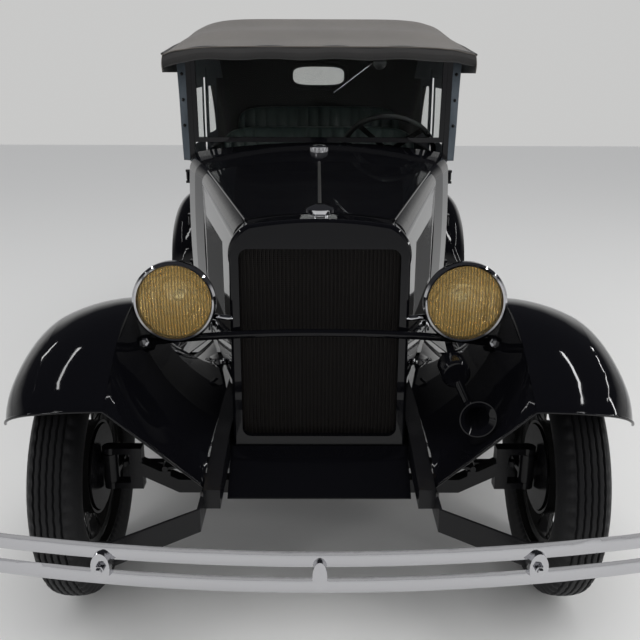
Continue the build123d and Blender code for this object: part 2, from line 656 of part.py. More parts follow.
def door_outline(span, inset, rear):
    """Side outline of a door opening; the rear one follows the fender."""
    a, b = span[0] + inset, span[1] - inset
    low = DOOR_SILL_Z + inset
    high = BELT_Z + 40
    if not rear:
        return stations([(a, low), (b, low), (b, high), (a, high)])
    arch = REAR_FENDER_R + 42 + inset
    knee = 2200.0 - inset
    reach = [(s, REAR_FENDER_Z + math.sqrt(arch ** 2 - (WHEELBASE - s) ** 2))
             for s in (b, (b + knee) / 2, knee)]
    up = ThreePointArc(*[(y_at(s), z) for s, z in reach])
    corners = [(knee, reach[2][1]), (knee - 24, low), (a, low), (a, high), (b, high), reach[0]]
    lines = [Line((y_at(p[0]), p[1]), (y_at(q[0]), q[1])) for p, q in zip(corners, corners[1:])]
    return Curve() + [up] + lines


def body_tub():
    """Hollow body from the cowl to the tail, open at the doors."""
    shell = tub_shape(0)
    hollow = tub_shape(WALL) & block((-700, 700), (BODY_FRONT_S - 60, 3100), (SILL_Z - 1, BELT_Z + 1))
    shell -= hollow
    doorway = 570 - WALL
    shell -= block((-doorway, doorway), (BODY_FRONT_S - 20, BODY_FRONT_S + 60), (SILL_Z - 20, BELT_Z + 20))
    for span, rear in ((FRONT_DOOR_S, False), (REAR_DOOR_S, True)):
        shell -= side_plate(door_outline(span, -SWING_GAP, rear), -700, 700)
        shell -= tub_shape(12) & side_plate(door_outline(span, -2 * SWING_GAP, rear), -700, 700)
    return shell


def door_hinges(span):
    """Hinge knuckles of a door at three heights, around the fixed pin."""
    x, s = door_axis(span)
    knuckles = []
    for z in HINGE_Z:
        barrel = Pos(x, y_at(s), z) * (Cylinder(HINGE_PIN_R + 3, 34) - Cylinder(HINGE_PIN_R + 0.3, 60))
        strap = block((x - HINGE_OUT - 6, x + 2), (s + HINGE_PIN_R + 1, s + 46), (z - 15, z + 15))
        knuckles.append(barrel + strap)
    return knuckles


def door_axis(span):
    """Plan place of a front-hinged door's pin."""
    s = span[0] - SWING_GAP / 2
    return skin_half(s) + HINGE_OUT, s


def skin_half(s):
    """Half-width of the body's skin at its waist."""
    edge = tub_outline(0, 0).edges()
    line = Edge.make_line((0, y_at(s), 0), (900, y_at(s), 0))
    best = 0.0
    for e in edge:
        found = e.intersect(line)
        for p in (found.vertices() if found else []):
            best = max(best, p.X)
    return best


def door(span, rear):
    """Left door: the piece of the body's wall inside the opening, with its hinges."""
    ring = tub_shape(0) - tub_shape(WALL)
    panel = ring & side_plate(door_outline(span, 0, rear), 300, 700)
    for knuckle_part in door_hinges(span):
        panel += knuckle_part
    return panel


def hinge_pins():
    """Fixed pins of the left doors with the plates that hold them on the pillars."""
    pins = []
    skin = tub_shape(-SEAT_GAP)
    scuttle = cowl_bulk(-SEAT_GAP)
    for span in (FRONT_DOOR_S, REAR_DOOR_S):
        x, s = door_axis(span)
        for z in HINGE_Z:
            pin = Pos(x, y_at(s), z) * Cylinder(HINGE_PIN_R, 58)
            for dz in (-24.0, 24.0):
                plate = block((x - HINGE_OUT - 8, x + 6), (s - 26, s), (z + dz - 5, z + dz + 5))
                pin += plate + Pos(x, y_at(s), z + dz) * Cylinder(HINGE_PIN_R + 1, 10)
            pins.append(pin - skin - scuttle)
    return pins


def floor():
    """Floor boards on two sills over the frame, raised at the back."""
    top = FLOOR_Z + FLOOR_THICK
    front = COWL_FRONT_S + 20
    outline = [(front, FLOOR_Z), (2160, FLOOR_Z), (2390, FLOOR_Z + FLOOR_RISE), (2930, FLOOR_Z + FLOOR_RISE),
               (2930, top + FLOOR_RISE), (2382, top + FLOOR_RISE), (2152, top), (front, top)]
    boards = side_plate(stations(outline), -700, 700)
    room = tub_shape(WALL + SEAT_GAP)
    room += cowl_bulk(WALL + SEAT_GAP)
    seat_z = RAIL_TOP + SEAT_GAP
    sill = [(front, seat_z), (2175, seat_z), (2398, seat_z + REAR_RISE), (2836, seat_z + REAR_RISE),
            (2836, FLOOR_Z + FLOOR_RISE + 2), (2386, FLOOR_Z + FLOOR_RISE + 2), (2156, FLOOR_Z + 2),
            (front, FLOOR_Z + 2)]
    bar = side_plate(stations(sill), RAIL_X - RAIL_WIDTH / 2 + 4, RAIL_X + RAIL_WIDTH / 2 - 4)
    return (boards & room) + bar + other(bar)


def seat(s_front, depth, back_top, cushion_z, floor_z):
    """Bench seat: a plinth, a cushion and a leaning back, fitted between the walls."""
    half, thick, lean = 500.0, 120.0, 110.0
    back_s = s_front + depth - 20
    room = tub_shape(WALL + 4)
    base = block((-half + 20, half - 20), (s_front + 30, back_s), (floor_z + SEAT_GAP, cushion_z - thick))
    cushion = block((-half, half), (s_front, back_s - SEAT_GAP), (cushion_z - thick + SEAT_GAP, cushion_z))
    cushion = fillet(cushion.edges().filter_by(Axis.X), 24)
    back = side_plate(stations([(back_s, cushion_z - 150), (back_s + 100, cushion_z - 150),
                                (back_s + 100 + lean, back_top - 30), (back_s + 60 + lean, back_top),
                                (back_s + lean, back_top - 30)]), -half, half)
    low = block((-700, 700), (1300, 3100), (500, BELT_Z))
    back = (back & room) + Pos(0, 0, -SEAT_GAP) * ((back - low) & top_bulk(TOP_WALL + 5))
    return base & room, cushion & room, back


def windshield_frame():
    """Two stanchions and a framed pane opening, raked back a little."""
    half, bar = SHIELD_HALF, SHIELD_BAR
    low, high = SHIELD_LOW, SHIELD_HIGH
    frame = block((-half, half), (SHIELD_S - 9, SHIELD_S + 9), (low + 34, high))
    frame -= block((-half + bar, half - bar), (SHIELD_S - 20, SHIELD_S + 20), (low + 34 + bar, high - bar))
    for side in (1, -1):
        x = sorted((side * (half - 1), side * (half + 20)))
        frame += block(x, (SHIELD_S - 12, SHIELD_S + 12), (low - 60, high + 4))
    return raked(frame) - cowl_bulk(-SEAT_GAP)


def raked(part):
    """A piece of the windshield tilted back about its foot."""
    foot = Axis((0, y_at(SHIELD_S), SHIELD_LOW), (1, 0, 0))
    return part.rotate(foot, SHIELD_RAKE)


def windshield_glass():
    """Pane held by the windshield frame."""
    half = SHIELD_HALF - SHIELD_BAR - SEAT_GAP
    pane = block((-half, half), (SHIELD_S - GLASS_THICK / 2, SHIELD_S + GLASS_THICK / 2),
                 (SHIELD_LOW + 34 + SHIELD_BAR + SEAT_GAP, SHIELD_HIGH - SHIELD_BAR - SEAT_GAP))
    return raked(pane)


def top_section(s, shrink):
    """Cross-section of the raised top at a station."""
    # columns: station, height of the flat, its half-width, height of the edge
    rows = ((HEADER_S, 1624.0, 610.0, 1606.0), (1885.0, TOP_BOW_Z, 544.0, 1676.0),
            (2480.0, TOP_BOW_Z, 540.0, 1668.0), (3020.0, TOP_BOW_Z - 30, 530.0, 1640.0))
    row = [r for r in rows if r[0] == s][0]
    z_flat, flat, z_edge = row[1] - shrink, row[2] - shrink * 0.4, row[3] - shrink * 0.6
    edge = TOP_HALF - shrink
    low = BELT_Z + SEAT_GAP
    over = ThreePointArc((-flat, z_flat), (0, z_flat + 12), (flat, z_flat))
    lines = [over, Line((flat, z_flat), (edge, z_edge)), Line((edge, z_edge), (edge, low)),
             Line((edge, low), (-edge, low)), Line((-edge, low), (-edge, z_edge)),
             Line((-edge, z_edge), (-flat, z_flat))]
    plane = Plane(origin=(0, y_at(s), 0), x_dir=(1, 0, 0), z_dir=(0, -1, 0))
    return plane * face_of(Curve() + lines)


def top_bulk(shrink):
    """Bulk of the raised top: roof sections inside a plan that tucks in to the belt."""
    stops = (HEADER_S, 1885.0, 2480.0, 3020.0)
    bulk = loft([top_section(s, shrink) for s in stops], ruled=True)
    # columns: height, half-width at the front, middle and rear, station of the tail
    rows = ((BELT_Z + SEAT_GAP, 562, 597, 559, 2999.0), (VALANCE_Z, 652, TOP_HALF, 636, 2925.0),
            (TOP_BOW_Z + 20, 650, TOP_HALF - 2, 620, 2868.0))
    faces = []
    for z, half_f, half_m, half_r, rear in rows:
        halves = (half_f - shrink, half_m - shrink, half_r - shrink)
        faces.append(Plane.XY.offset(z) * face_of(plan_outline(HEADER_S, rear - shrink, halves, 200.0)))
    return bulk & loft(faces, ruled=True)


def top_canopy():
    """Cloth top: roof, header bow, side valances, rear quarters and back, with its window cut."""
    cloth = top_bulk(0) - top_bulk(TOP_WALL)
    cloth -= block((-700, 700), (HEADER_S - 20, QUARTER_S), (900, VALANCE_Z))
    plane = Plane(origin=(0, y_at(2700), 1514), x_dir=(1, 0, 0), z_dir=(0, 1, 0))
    window = plane * RectangleRounded(310, 118, 34)
    cloth -= extrude(window, 400)
    angle = math.radians(SHIELD_RAKE)
    shield_top = SHIELD_LOW + (SHIELD_HIGH + 4 - SHIELD_LOW) * math.cos(angle) + 12 * math.sin(angle)
    bow = block((-590, 590), (1322, 1366), (shield_top + SEAT_GAP, 1650))
    return cloth + (bow & top_bulk(0))


def curtain(span):
    """Left side curtain that stands on a door and swings with it."""
    inset = 22.0
    x0, x1 = skin_half(span[0]) - inset, skin_half(span[1]) - inset
    y0, y1 = y_at(span[0] + 2), y_at(span[1] - 2)
    sheet = plan_plate(Polyline((x0 - 4, y0), (x0, y0), (x1, y1), (x1 - 4, y1), close=True),
                       BELT_Z + SEAT_GAP, VALANCE_Z - 8)
    cut = stations([(span[0] - 10, BELT_Z + 190), (span[0] + 2, BELT_Z + 190), (span[0] + 20, VALANCE_Z + 1),
                    (span[0] - 10, VALANCE_Z + 1)])
    return sheet - side_plate(cut, 400, 700)


def fender_section(frame, x_in, x_out, drop):
    """Thin crowned section across a fender, in a frame normal to its run."""
    run = x_out - x_in
    mid = (x_in + 0.64 * run, -0.24 * drop)
    outer_a = TangentArc((x_in, 0), mid, tangent=(1, -0.02))
    outer_b = TangentArc(mid, (x_out, -drop), tangent=outer_a % 1)
    n = outer_a % 1
    inner_mid = (mid[0] + n.Y * SHEET, mid[1] - n.X * SHEET)
    e = outer_b % 1
    inner_end = (x_out + e.Y * SHEET, -drop - e.X * SHEET)
    inner_a = TangentArc((x_in, -SHEET), inner_mid, tangent=(1, -0.02))
    inner_b = TangentArc(inner_mid, inner_end, tangent=n)
    ends = [Line((x_in, 0), (x_in, -SHEET)), Line(outer_b @ 1, inner_b @ 1)]
    return frame * face_of(Curve() + [outer_a, outer_b, inner_a, inner_b] + ends)


def run_frame(s, z, angle):
    """Plane across a fender's run; angle is the run's slope down towards the rear."""
    a = math.radians(angle)
    return Plane(origin=(0, y_at(s), z), x_dir=(1, 0, 0), z_dir=(0, -math.cos(a), math.sin(a)))


def fender_rows():
    """Places along the front fender's crown, from its lip to the running board."""
    rows = []
    # columns: angle from the top of the arch, inner edge, outer edge, drop of the outer edge
    for angle, x_in, x_out, drop in ((LIP_ANGLE, 540, 836, 150), (-30, 532, 849, 182),
                                     (0, FENDER_IN, FENDER_HALF, 215), (32, 534, FENDER_HALF - 2, 165)):
        a = math.radians(angle)
        rows.append((FENDER_CROWN_S + FENDER_CROWN_R * math.sin(a),
                     FENDER_CROWN_Z + FENDER_CROWN_R * math.cos(a), angle, x_in, x_out, drop))
    # columns: station, height, slope, inner edge, outer edge, drop
    rows += [(392, 680, 57, 552, FENDER_HALF - 8, 100), (560, 470, 38, 584, FENDER_HALF - 14, 56),
             (BOARD_S[0], BOARD_TOP + 2, 8, BOARD_X[0] - 6, FENDER_HALF - 19, 22)]
    return rows


def skirt_arc(row, offset):
    """One bowed line of the front fender's inner skirt, from the crown in to the frame."""
    s, z, x_in = row[0], row[1], row[3]
    foot_s = min(max(s, -330.0), BOARD_S[0])
    foot_x = max(RAIL_X + RAIL_WIDTH / 2 + SEAT_GAP, along_hood(HOOD_FOOT, foot_s) + 8)
    foot_z = 492.0 if s < -300 else 545.0
    a, c = Vector(x_in, y_at(s), z - 1), Vector(foot_x, y_at(foot_s), foot_z)
    out = Vector(a.Z - c.Z, 0, c.X - a.X).normalized()
    bow = LIP_BOW if s < -300 else 0.13 if s < 300 else 0.04
    b = (a + c) * 0.5 + out * (bow * (c - a).length)
    return ThreePointArc(a + out * offset, b + out * offset, c + out * offset)


def fender_skirt(inner, outer):
    """Inner skirt of the left front fender between two offsets from its own line."""
    faces = []
    for row in fender_rows():
        edge, back = skirt_arc(row, inner), skirt_arc(row, outer)
        faces.append(make_face(Curve() + [edge, back, Line(edge @ 0, back @ 0), Line(edge @ 1, back @ 1)]))
    return loft(faces, ruled=True)


def front_fender():
    """Left front fender: crowned top swept down to the running board, and its inner skirt."""
    crown = loft([fender_section(run_frame(s, z, angle), x_in, x_out, drop)
                  for s, z, angle, x_in, x_out, drop in fender_rows()])
    return crown + fender_skirt(0, SHEET)


def rear_fender():
    """Left rear fender, a crowned arch that ends in a flared tail."""
    rows = [(BOARD_S[1], BOARD_TOP + 2, -10, REAR_FENDER_IN, FENDER_HALF - 19, 20)]
    for angle, x_out, drop in ((-56, FENDER_HALF - 10, 90), (-28, FENDER_HALF - 3, 140),
                               (4, FENDER_HALF, 165), (36, FENDER_HALF - 3, 150), (66, FENDER_HALF - 10, 120),
                               (84, FENDER_HALF - 16, 90)):
        a = math.radians(angle)
        rows.append((WHEELBASE + REAR_FENDER_R * math.sin(a), REAR_FENDER_Z + REAR_FENDER_R * math.cos(a),
                     angle, REAR_FENDER_IN, x_out, drop))
    return loft([fender_section(run_frame(s, z, angle), x_in, x_out, drop)
                 for s, z, angle, x_in, x_out, drop in rows])


def running_board():
    """Left running board with its step mat, on two brackets from the frame."""
    board = block(BOARD_X, BOARD_S, (BOARD_TOP - BOARD_THICK, BOARD_TOP))
    board += block(MAT_X, MAT_S, (BOARD_TOP, BOARD_TOP + MAT_THICK))
    inner = RAIL_X + RAIL_WIDTH / 2 + SEAT_GAP
    for s in (980.0, 1960.0):
        arm = side_plate(stations([(s - 20, 366), (s + 20, 366), (s + 20, BOARD_TOP - BOARD_THICK),
                                   (s - 20, BOARD_TOP - BOARD_THICK)]), inner, BOARD_X[1] - 20)
        arm += block((inner, inner + 30), (s - 20, s + 20), (366, 520))
        board += arm
    return board


def splash_apron():
    """Left apron from the running board in to the hood's foot, the cowl and the body."""
    x0, z0 = BOARD_X[0], BOARD_TOP + SEAT_GAP
    faces = []
    # columns: station, x of its top edge, z of its top edge
    sill = SILL_Z - SEAT_GAP
    rows = ((BOARD_S[0] + 4, 416, 555), (HOOD_REAR_S - 2, 447, 555), (COWL_FRONT_S, 450, sill),
            (BODY_FRONT_S, 550, sill), (2050, 584, sill), (BOARD_S[1] - 4, 583, sill))
    for s, x, z in rows:
        outline = Polyline((x0 - 4, z0), (x0 + 14, z0), (x0 + 14, z0 + 4), (x0, z0 + 4), (x, z), (x - 4, z),
                           close=True)
        plane = Plane(origin=(0, y_at(s), 0), x_dir=(1, 0, 0), z_dir=(0, -1, 0))
        faces.append(plane * face_of(outline))
    return loft(faces, ruled=True)


def bumper_bar(face_s, sweep, half, z, facing):
    """One curved bar with a bowed face, turned about an upright axis."""
    radius = (half ** 2 + sweep ** 2) / (2 * sweep)
    angle = math.degrees(math.asin(half / radius))
    h = BAR_HEIGHT / 2
    face = ThreePointArc((radius - 5, -h), (radius, 0), (radius - 5, h))
    inner = radius - BAR_THICK
    back = ThreePointArc((inner, -h + 3), (inner + 3, 0), (inner, h - 3))
    ends = [Line(face @ 0, back @ 0), Line(face @ 1, back @ 1)]
    upright = Plane(origin=(0, 0, 0), x_dir=(0, -facing, 0), z_dir=(facing, 0, 0))
    section = upright * face_of(Curve() + [face, back] + ends)
    bar = revolve(section, Axis.Z, 2 * angle).rotate(Axis.Z, -angle)
    return Pos(0, y_at(face_s) + facing * radius, z) * bar


def oval_clamp(x, s, facing, width, height):
    """Oval clamp that holds the two bars together."""
    plane = Plane(origin=(x, y_at(s) + facing * 24, BUMPER_Z), x_dir=(1, 0, 0), z_dir=(0, -facing, 0))
    return extrude(plane * Ellipse(width / 2, height / 2), 38)


def bumper_front():
    """Two-bar front bumper with three oval clamps."""
    bumper = None
    for side in (1, -1):
        z = BUMPER_Z + side * (BAR_HEIGHT + BAR_GAP) / 2
        bar = bumper_bar(BUMPER_FACE_S, BUMPER_SWEEP, BUMPER_HALF, z, 1)
        bumper = bar if bumper is None else bumper + bar
    for x, width in ((0, 34), (510, 44), (-510, 44)):
        s = BUMPER_FACE_S + BUMPER_SWEEP * (x / BUMPER_HALF) ** 2
        bumper += oval_clamp(x, s, 1, width, 76)
    return bumper


def bumper_arms():
    """Spring-steel arms from the frame horns to the front bumper's clamps."""
    s_clamp = BUMPER_FACE_S + BUMPER_SWEEP * (510 / BUMPER_HALF) ** 2 + 24 + SEAT_GAP
    x0 = RAIL_X + RAIL_WIDTH / 2 + SEAT_GAP
    outline = Polyline((x0, y_at(HORN_S + 60)), (x0, y_at(HORN_S - 60)), (490, y_at(s_clamp)),
                       (530, y_at(s_clamp)), (530, y_at(s_clamp + 8)), (494, y_at(s_clamp + 8)),
                       (x0 + 8, y_at(HORN_S - 57)), (x0 + 8, y_at(HORN_S + 60)), close=True)
    return plan_plate(outline, BUMPER_Z - 22, BUMPER_Z + 42)


def bumper_rear():
    """Short two-bar bumperette on each side of the spare wheel, with its arm."""
    tail = REAR_END - CLAMP_PROUD
    part = None
    for z in (BUMPER_Z - 35, BUMPER_Z + 35):
        outline = ThreePointArc((330, y_at(tail - 26)), (520, y_at(tail)), (790, y_at(tail - 92)))
        inner = ThreePointArc((330, y_at(tail - 34)), (520, y_at(tail - 8)), (786, y_at(tail - 99)))
        ends = [Line(outline @ 0, inner @ 0), Line(outline @ 1, inner @ 1)]
        bar = plan_plate(Curve() + [outline, inner] + ends, z - BAR_HEIGHT / 2, z + BAR_HEIGHT / 2)
        part = bar if part is None else part + bar
    part += oval_clamp(520, tail, -1, 44, 76)
    x0 = RAIL_X + RAIL_WIDTH / 2 + SEAT_GAP
    arm = Polyline((x0, y_at(FRAME_END_S - 160)), (x0 + 8, y_at(FRAME_END_S - 160)),
                   (x0 + 8, y_at(FRAME_END_S + 20)), (530, y_at(tail - 20)), (500, y_at(tail - 20)),
                   (x0, y_at(FRAME_END_S + 26)), close=True)
    part += plan_plate(arm, BUMPER_Z - 20, BUMPER_Z + 20)
    part += plan_plate(Polyline((x0, y_at(FRAME_END_S - 160)), (x0 + 8, y_at(FRAME_END_S - 160)),
                                (x0 + 8, y_at(FRAME_END_S - 4)), (x0, y_at(FRAME_END_S - 4)), close=True),
                       BUMPER_Z - 20, RAIL_TOP + 10)
    return part


def bowl_curve(grow):
    """Outline of a headlamp bowl from its mouth to its back."""
    r, depth = LAMP_R - 3 + grow, LAMP_DEPTH + grow
    return ThreePointArc((r, 0), (r * 0.86, depth * 0.45), (24, depth))


def headlamp_shell(side):
    """Deep bowl of a headlamp, hollow behind the lens."""
    outer, inner = bowl_curve(0), bowl_curve(-4)
    tail = LAMP_DEPTH
    profile = Curve() + [outer, inner, Line(outer @ 0, inner @ 0), Line((24, tail), (0, tail)),
                         Line((0, tail), (0, tail - 4)), Line((0, tail - 4), (24, tail - 4))]
    return turned(profile, (side * LAMP_X, y_at(LAMP_FACE_S + 8), LAMP_Z), (0, 1, 0))


def headlamp_rim(side):
    """Bright ring round the lens."""
    rows = [(-12, LAMP_R - 11), (-14, LAMP_R - 6), (-8, LAMP_R), (6, LAMP_R), (6, LAMP_R - 3 + SEAT_GAP),
            (-2, LAMP_R - 3 + SEAT_GAP), (-2, LAMP_R - 11)]
    return turned(disc_outline(rows), (side * LAMP_X, y_at(LAMP_FACE_S + 8), LAMP_Z), (0, 1, 0))


def headlamp_lens(side):
    """Domed lens, a little proud of its ring."""
    r = LAMP_R - 11 - SEAT_GAP
    # columns: distance along the lamp, radius
    rows = [(-6, r), (-10.5, r * 0.8), (-14, r * 0.55), (-16.3, r * 0.25), (-17, 0),
            (-11, 0), (-10.3, r * 0.25), (-8, r * 0.55), (-5, r * 0.8), (-2, r)]
    return turned(disc_outline(rows), (side * LAMP_X, y_at(LAMP_FACE_S + 8), LAMP_Z), (0, 1, 0))


def lamp_bar():
    """Bar across the radiator that carries the lamps, bolted to the fenders at its ends."""
    x, s, z = LAMP_BAR_END
    path = ThreePointArc((-x - 40, y_at(s + 12), z - 8), (0, y_at(LAMP_BAR_MID[0]), LAMP_BAR_MID[1]),
                         (x + 40, y_at(s + 12), z - 8))
    bar = sweep(Plane(origin=path @ 0, z_dir=path % 0) * Circle(LAMP_BAR_R), path=path)
    share = (LAMP_X / x) ** 2
    s_lamp = LAMP_BAR_MID[0] + share * (s - LAMP_BAR_MID[0])
    z_lamp = LAMP_BAR_MID[1] + share * (z - LAMP_BAR_MID[1])
    skirt = fender_skirt(-SEAT_GAP, 90)
    for side in (1, -1):
        bar += Pos(side * LAMP_X, y_at(s_lamp), z_lamp + 12) * Cylinder(15, 34)
        bowl = bowl_curve(SEAT_GAP)
        tip = (0, LAMP_DEPTH + SEAT_GAP)
        solid = Curve() + [bowl, Line(bowl @ 1, tip), Line(tip, (0, 0)), Line((0, 0), bowl @ 0)]
        bar -= turned(solid, (side * LAMP_X, y_at(LAMP_FACE_S + 8), LAMP_Z), (0, 1, 0))
        bar += rod((side * (x - 30), s - 5, z + 4), (side * (x + 20), s + 2, z), 24)
        bar -= skirt if side > 0 else other(skirt)
    return bar


def horn():
    """Motor horn: can, stay and a neck that bends down to a bell facing ahead."""
    x, s, z = HORN_PLACE
    mouth_x, mouth_s, mouth_z = HORN_MOUTH
    rows = [(0, 0), (0, 34), (8, 40), (78, 40), (92, 30), (92, 0)]
    can = turned(disc_outline(rows), (x, y_at(s - 40), z), (0, 1, 0))
    # columns: distance behind the mouth, radius outside, then the same for the hollow
    outside = [(0, HORN_R), (12, HORN_R - 12), (34, HORN_R - 24), (70, 16), (110, 13), (150, 12)]
    inside = [(70, 0), (34, HORN_R - 28), (12, HORN_R - 16), (0, HORN_R - 3)]
    bell = turned(disc_outline(outside + [(150, 0)] + inside), (mouth_x, y_at(mouth_s), mouth_z), HORN_AIM)
    neck = rod((x + 6, s - 30, z - 20), (mouth_x, mouth_s + 138, mouth_z - 16), 12)
    stay = side_plate(stations([(s + 20, z + 20), (s + 40, z + 20), (s + 114, z + 42.8), (s + 96, z + 42.8)]),
                      x - 10, x + 10)
    return can + bell + neck + stay


def tail_lamp(side):
    """Small round tail lamp on its stalk."""
    x, s, z = side * 545.0, 3020.0, 690.0
    lamp = turned(disc_outline([(0, 0), (0, 30), (40, 44), (52, 40), (56, 0)]), (x, y_at(s), z), (0, 1, 0))
    return lamp + (rod((side * 470, 2900, z), (x, s + 6, z), 9) - tub_shape(-SEAT_GAP))


def column_tube(radius):
    """The column's straight tube at a given radius."""
    return rod(COLUMN_FOOT, column_top(-HUB_BACK - SEAT_GAP), radius)


def steering_column():
    """Column tube from the gear on the frame to the wheel's hub."""
    x, s, z = COLUMN_FOOT
    gear = block((x - 24, RAIL_X - RAIL_WIDTH / 2 - SEAT_GAP), (s - 45, s + 45), (RAIL_TOP - 66, z + 26))
    return column_tube(COLUMN_R) + gear


def column_axis():
    """Direction of the steering column, from its foot up to the driver."""
    return Vector(*[b - a for a, b in zip(COLUMN_FOOT, WHEEL_HUB)]).normalized()


def column_top(step):
    """Point on the column's axis, step beyond the wheel's hub."""
    d = column_axis()
    return (WHEEL_HUB[0] + d.X * step, WHEEL_HUB[1] + d.Y * step, WHEEL_HUB[2] + d.Z * step)


def steering_wheel():
    """Rim, four spokes and a hub."""
    d = column_axis()
    hub = Vector(WHEEL_HUB[0], y_at(WHEEL_HUB[1]), WHEEL_HUB[2])
    plane = Plane(origin=hub, x_dir=(1, 0, 0), z_dir=(d.X, d.Y, d.Z))
    wheel_part = plane * Torus(STEERING_R - 12, 12)
    wheel_part += plane * (Pos(0, 0, 17 - HUB_BACK) * Cylinder(30, 34))
    for i in range(4):
        spoke = Pos((STEERING_R - 12) / 2, 0, 0) * Box(STEERING_R - 12, 22, 7)
        wheel_part += plane * (Rot(0, 0, 45 + 90 * i) * spoke)
    return wheel_part


def main():
    os.makedirs("parts", exist_ok=True)
    nodes = {}
    wheel_left, wheel_right, tyre_part = wheel(1), wheel(-1), tyre()
    for place, s in (("front", 0.0), ("rear", WHEELBASE)):
        for name, side, part in (("left", 1, wheel_left), ("right", -1, wheel_right)):
            nodes["wheel_%s_%s" % (place, name)] = wheel_place(s, side) * part
            nodes["tyre_%s_%s" % (place, name)] = wheel_place(s, side) * tyre_part
    spare = Pos(0, y_at(SPARE_S), SPARE_Z) * Rot(0, 0, 90)
    nodes["spare_wheel"] = spare * wheel(1, drum=False)
    nodes["spare_tyre"] = spare * tyre_part
    nodes["knuckle_left"] = knuckle(1)
    nodes["knuckle_right"] = knuckle(-1)
    nodes["tie_rod"] = tie_rod()
    nodes["front_axle"] = front_axle()
    nodes["rear_axle"] = rear_axle()
    nodes["springs"] = springs()
    nodes["engine"] = engine()
    nodes["chassis_frame"] = chassis_frame()
    nodes["radiator_shell"] = radiator_shell()
    nodes["radiator_core"] = radiator_core()
    nodes["radiator_apron"] = radiator_apron()
    nodes["filler_caps"] = Compound(children=list(caps()))
    nodes["hood_top_left"] = hood_top()
    nodes["hood_top_right"] = other(nodes["hood_top_left"])
    nodes["hood_side_left"] = hood_side()
    nodes["hood_side_right"] = other(nodes["hood_side_left"])
    nodes["cowl"] = cowl()
    nodes["body_tub"] = body_tub()
    pins = hinge_pins()
    nodes["hinge_pins"] = Compound(children=pins + [other(p) for p in pins] + [hood_rod()])
    nodes["floor"] = floor()
    for name, span, rear in (("front", FRONT_DOOR_S, False), ("rear", REAR_DOOR_S, True)):
        nodes["door_%s_left" % name] = door(span, rear)
        nodes["door_%s_right" % name] = other(nodes["door_%s_left" % name])
        nodes["curtain_%s_left" % name] = curtain(span)
        nodes["curtain_%s_right" % name] = other(nodes["curtain_%s_left" % name])
    nodes["front_seat"] = Compound(children=list(seat(1430, 480, FRONT_SEAT_TOP, 900, FLOOR_Z + FLOOR_THICK)))
    rear_floor = FLOOR_Z + FLOOR_THICK + FLOOR_RISE
    nodes["rear_seat"] = Compound(children=list(seat(2250, 480, REAR_SEAT_TOP, 930, rear_floor)))
    nodes["windshield_frame"] = windshield_frame()
    nodes["windshield_glass"] = windshield_glass()
    nodes["top_canopy"] = top_canopy()
    fender = front_fender()
    nodes["front_fenders"] = Compound(children=[fender, other(fender)])
    fender = rear_fender()
    nodes["rear_fenders"] = Compound(children=[fender, other(fender)])
    board, apron = running_board(), splash_apron()
    nodes["running_boards"] = Compound(children=[board, other(board), apron, other(apron)])
    nodes["bumper_front"] = bumper_front()
    arm = bumper_arms()
    nodes["bumper_arms"] = Compound(children=[arm, other(arm)])
    rear = bumper_rear()
    nodes["bumper_rear"] = Compound(children=[rear, other(rear)])
    for name, make in (("headlamp_shells", headlamp_shell), ("headlamp_rims", headlamp_rim),
                       ("headlamp_lenses", headlamp_lens), ("tail_lamps", tail_lamp)):
        nodes[name] = Compound(children=[make(1), make(-1)])
    nodes["lamp_bar"] = lamp_bar()
    nodes["horn"] = horn()
    nodes["steering_column"] = steering_column()
    nodes["steering_wheel"] = steering_wheel()
    for name, part in nodes.items():
        export_step(part, "parts/%s.step" % name)
    print("wrote", len(nodes), "nodes")


main()
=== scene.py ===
# %% [markdown]
# A touring car from the early nineteen-thirties, dressed in Blender.
# The construction comes ready made as a fixed frame. This script only adds what a frame can't
# hold: cloth, upholstery, tread, glass, small trim, and the finish of every surface.

# %% Load the frame
import json
import math
import bpy
import numpy as np
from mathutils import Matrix, Quaternion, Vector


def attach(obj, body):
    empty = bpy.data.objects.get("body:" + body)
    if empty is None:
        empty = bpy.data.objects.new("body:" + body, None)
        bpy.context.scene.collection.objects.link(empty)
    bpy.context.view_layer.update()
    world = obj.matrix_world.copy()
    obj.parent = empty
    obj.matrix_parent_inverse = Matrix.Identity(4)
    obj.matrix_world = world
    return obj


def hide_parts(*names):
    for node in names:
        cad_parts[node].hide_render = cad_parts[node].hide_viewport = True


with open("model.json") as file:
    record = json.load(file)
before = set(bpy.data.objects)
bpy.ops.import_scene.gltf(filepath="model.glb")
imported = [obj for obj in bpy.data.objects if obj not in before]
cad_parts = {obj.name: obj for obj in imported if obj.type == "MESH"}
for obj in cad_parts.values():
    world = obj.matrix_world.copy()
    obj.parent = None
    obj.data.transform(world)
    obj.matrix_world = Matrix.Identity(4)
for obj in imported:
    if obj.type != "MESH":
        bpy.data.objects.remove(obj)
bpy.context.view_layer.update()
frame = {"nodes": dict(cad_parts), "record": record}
AXLE_Y = -1.2975        # front axle, metres along the car
SIDES = (("left", 1), ("right", -1))

# %% [markdown]
# Every new surface here is a function of two parameters, sampled on a grid with numpy. Working on
# whole arrays keeps the shape readable as a formula, and the grid turns into quads in one step.

# %% Grid to mesh
def make_object(name, vertices, faces, body, material, smooth=True):
    """A mesh object at the origin that rides on a CAD body."""
    mesh = bpy.data.meshes.new(name)
    mesh.from_pydata(vertices.tolist(), [], faces)
    mesh.validate()
    mesh.polygons.foreach_set("use_smooth", [smooth] * len(mesh.polygons))
    mesh.materials.append(material)
    thing = bpy.data.objects.new(name, mesh)
    bpy.context.scene.collection.objects.link(thing)
    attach(thing, body)
    return thing


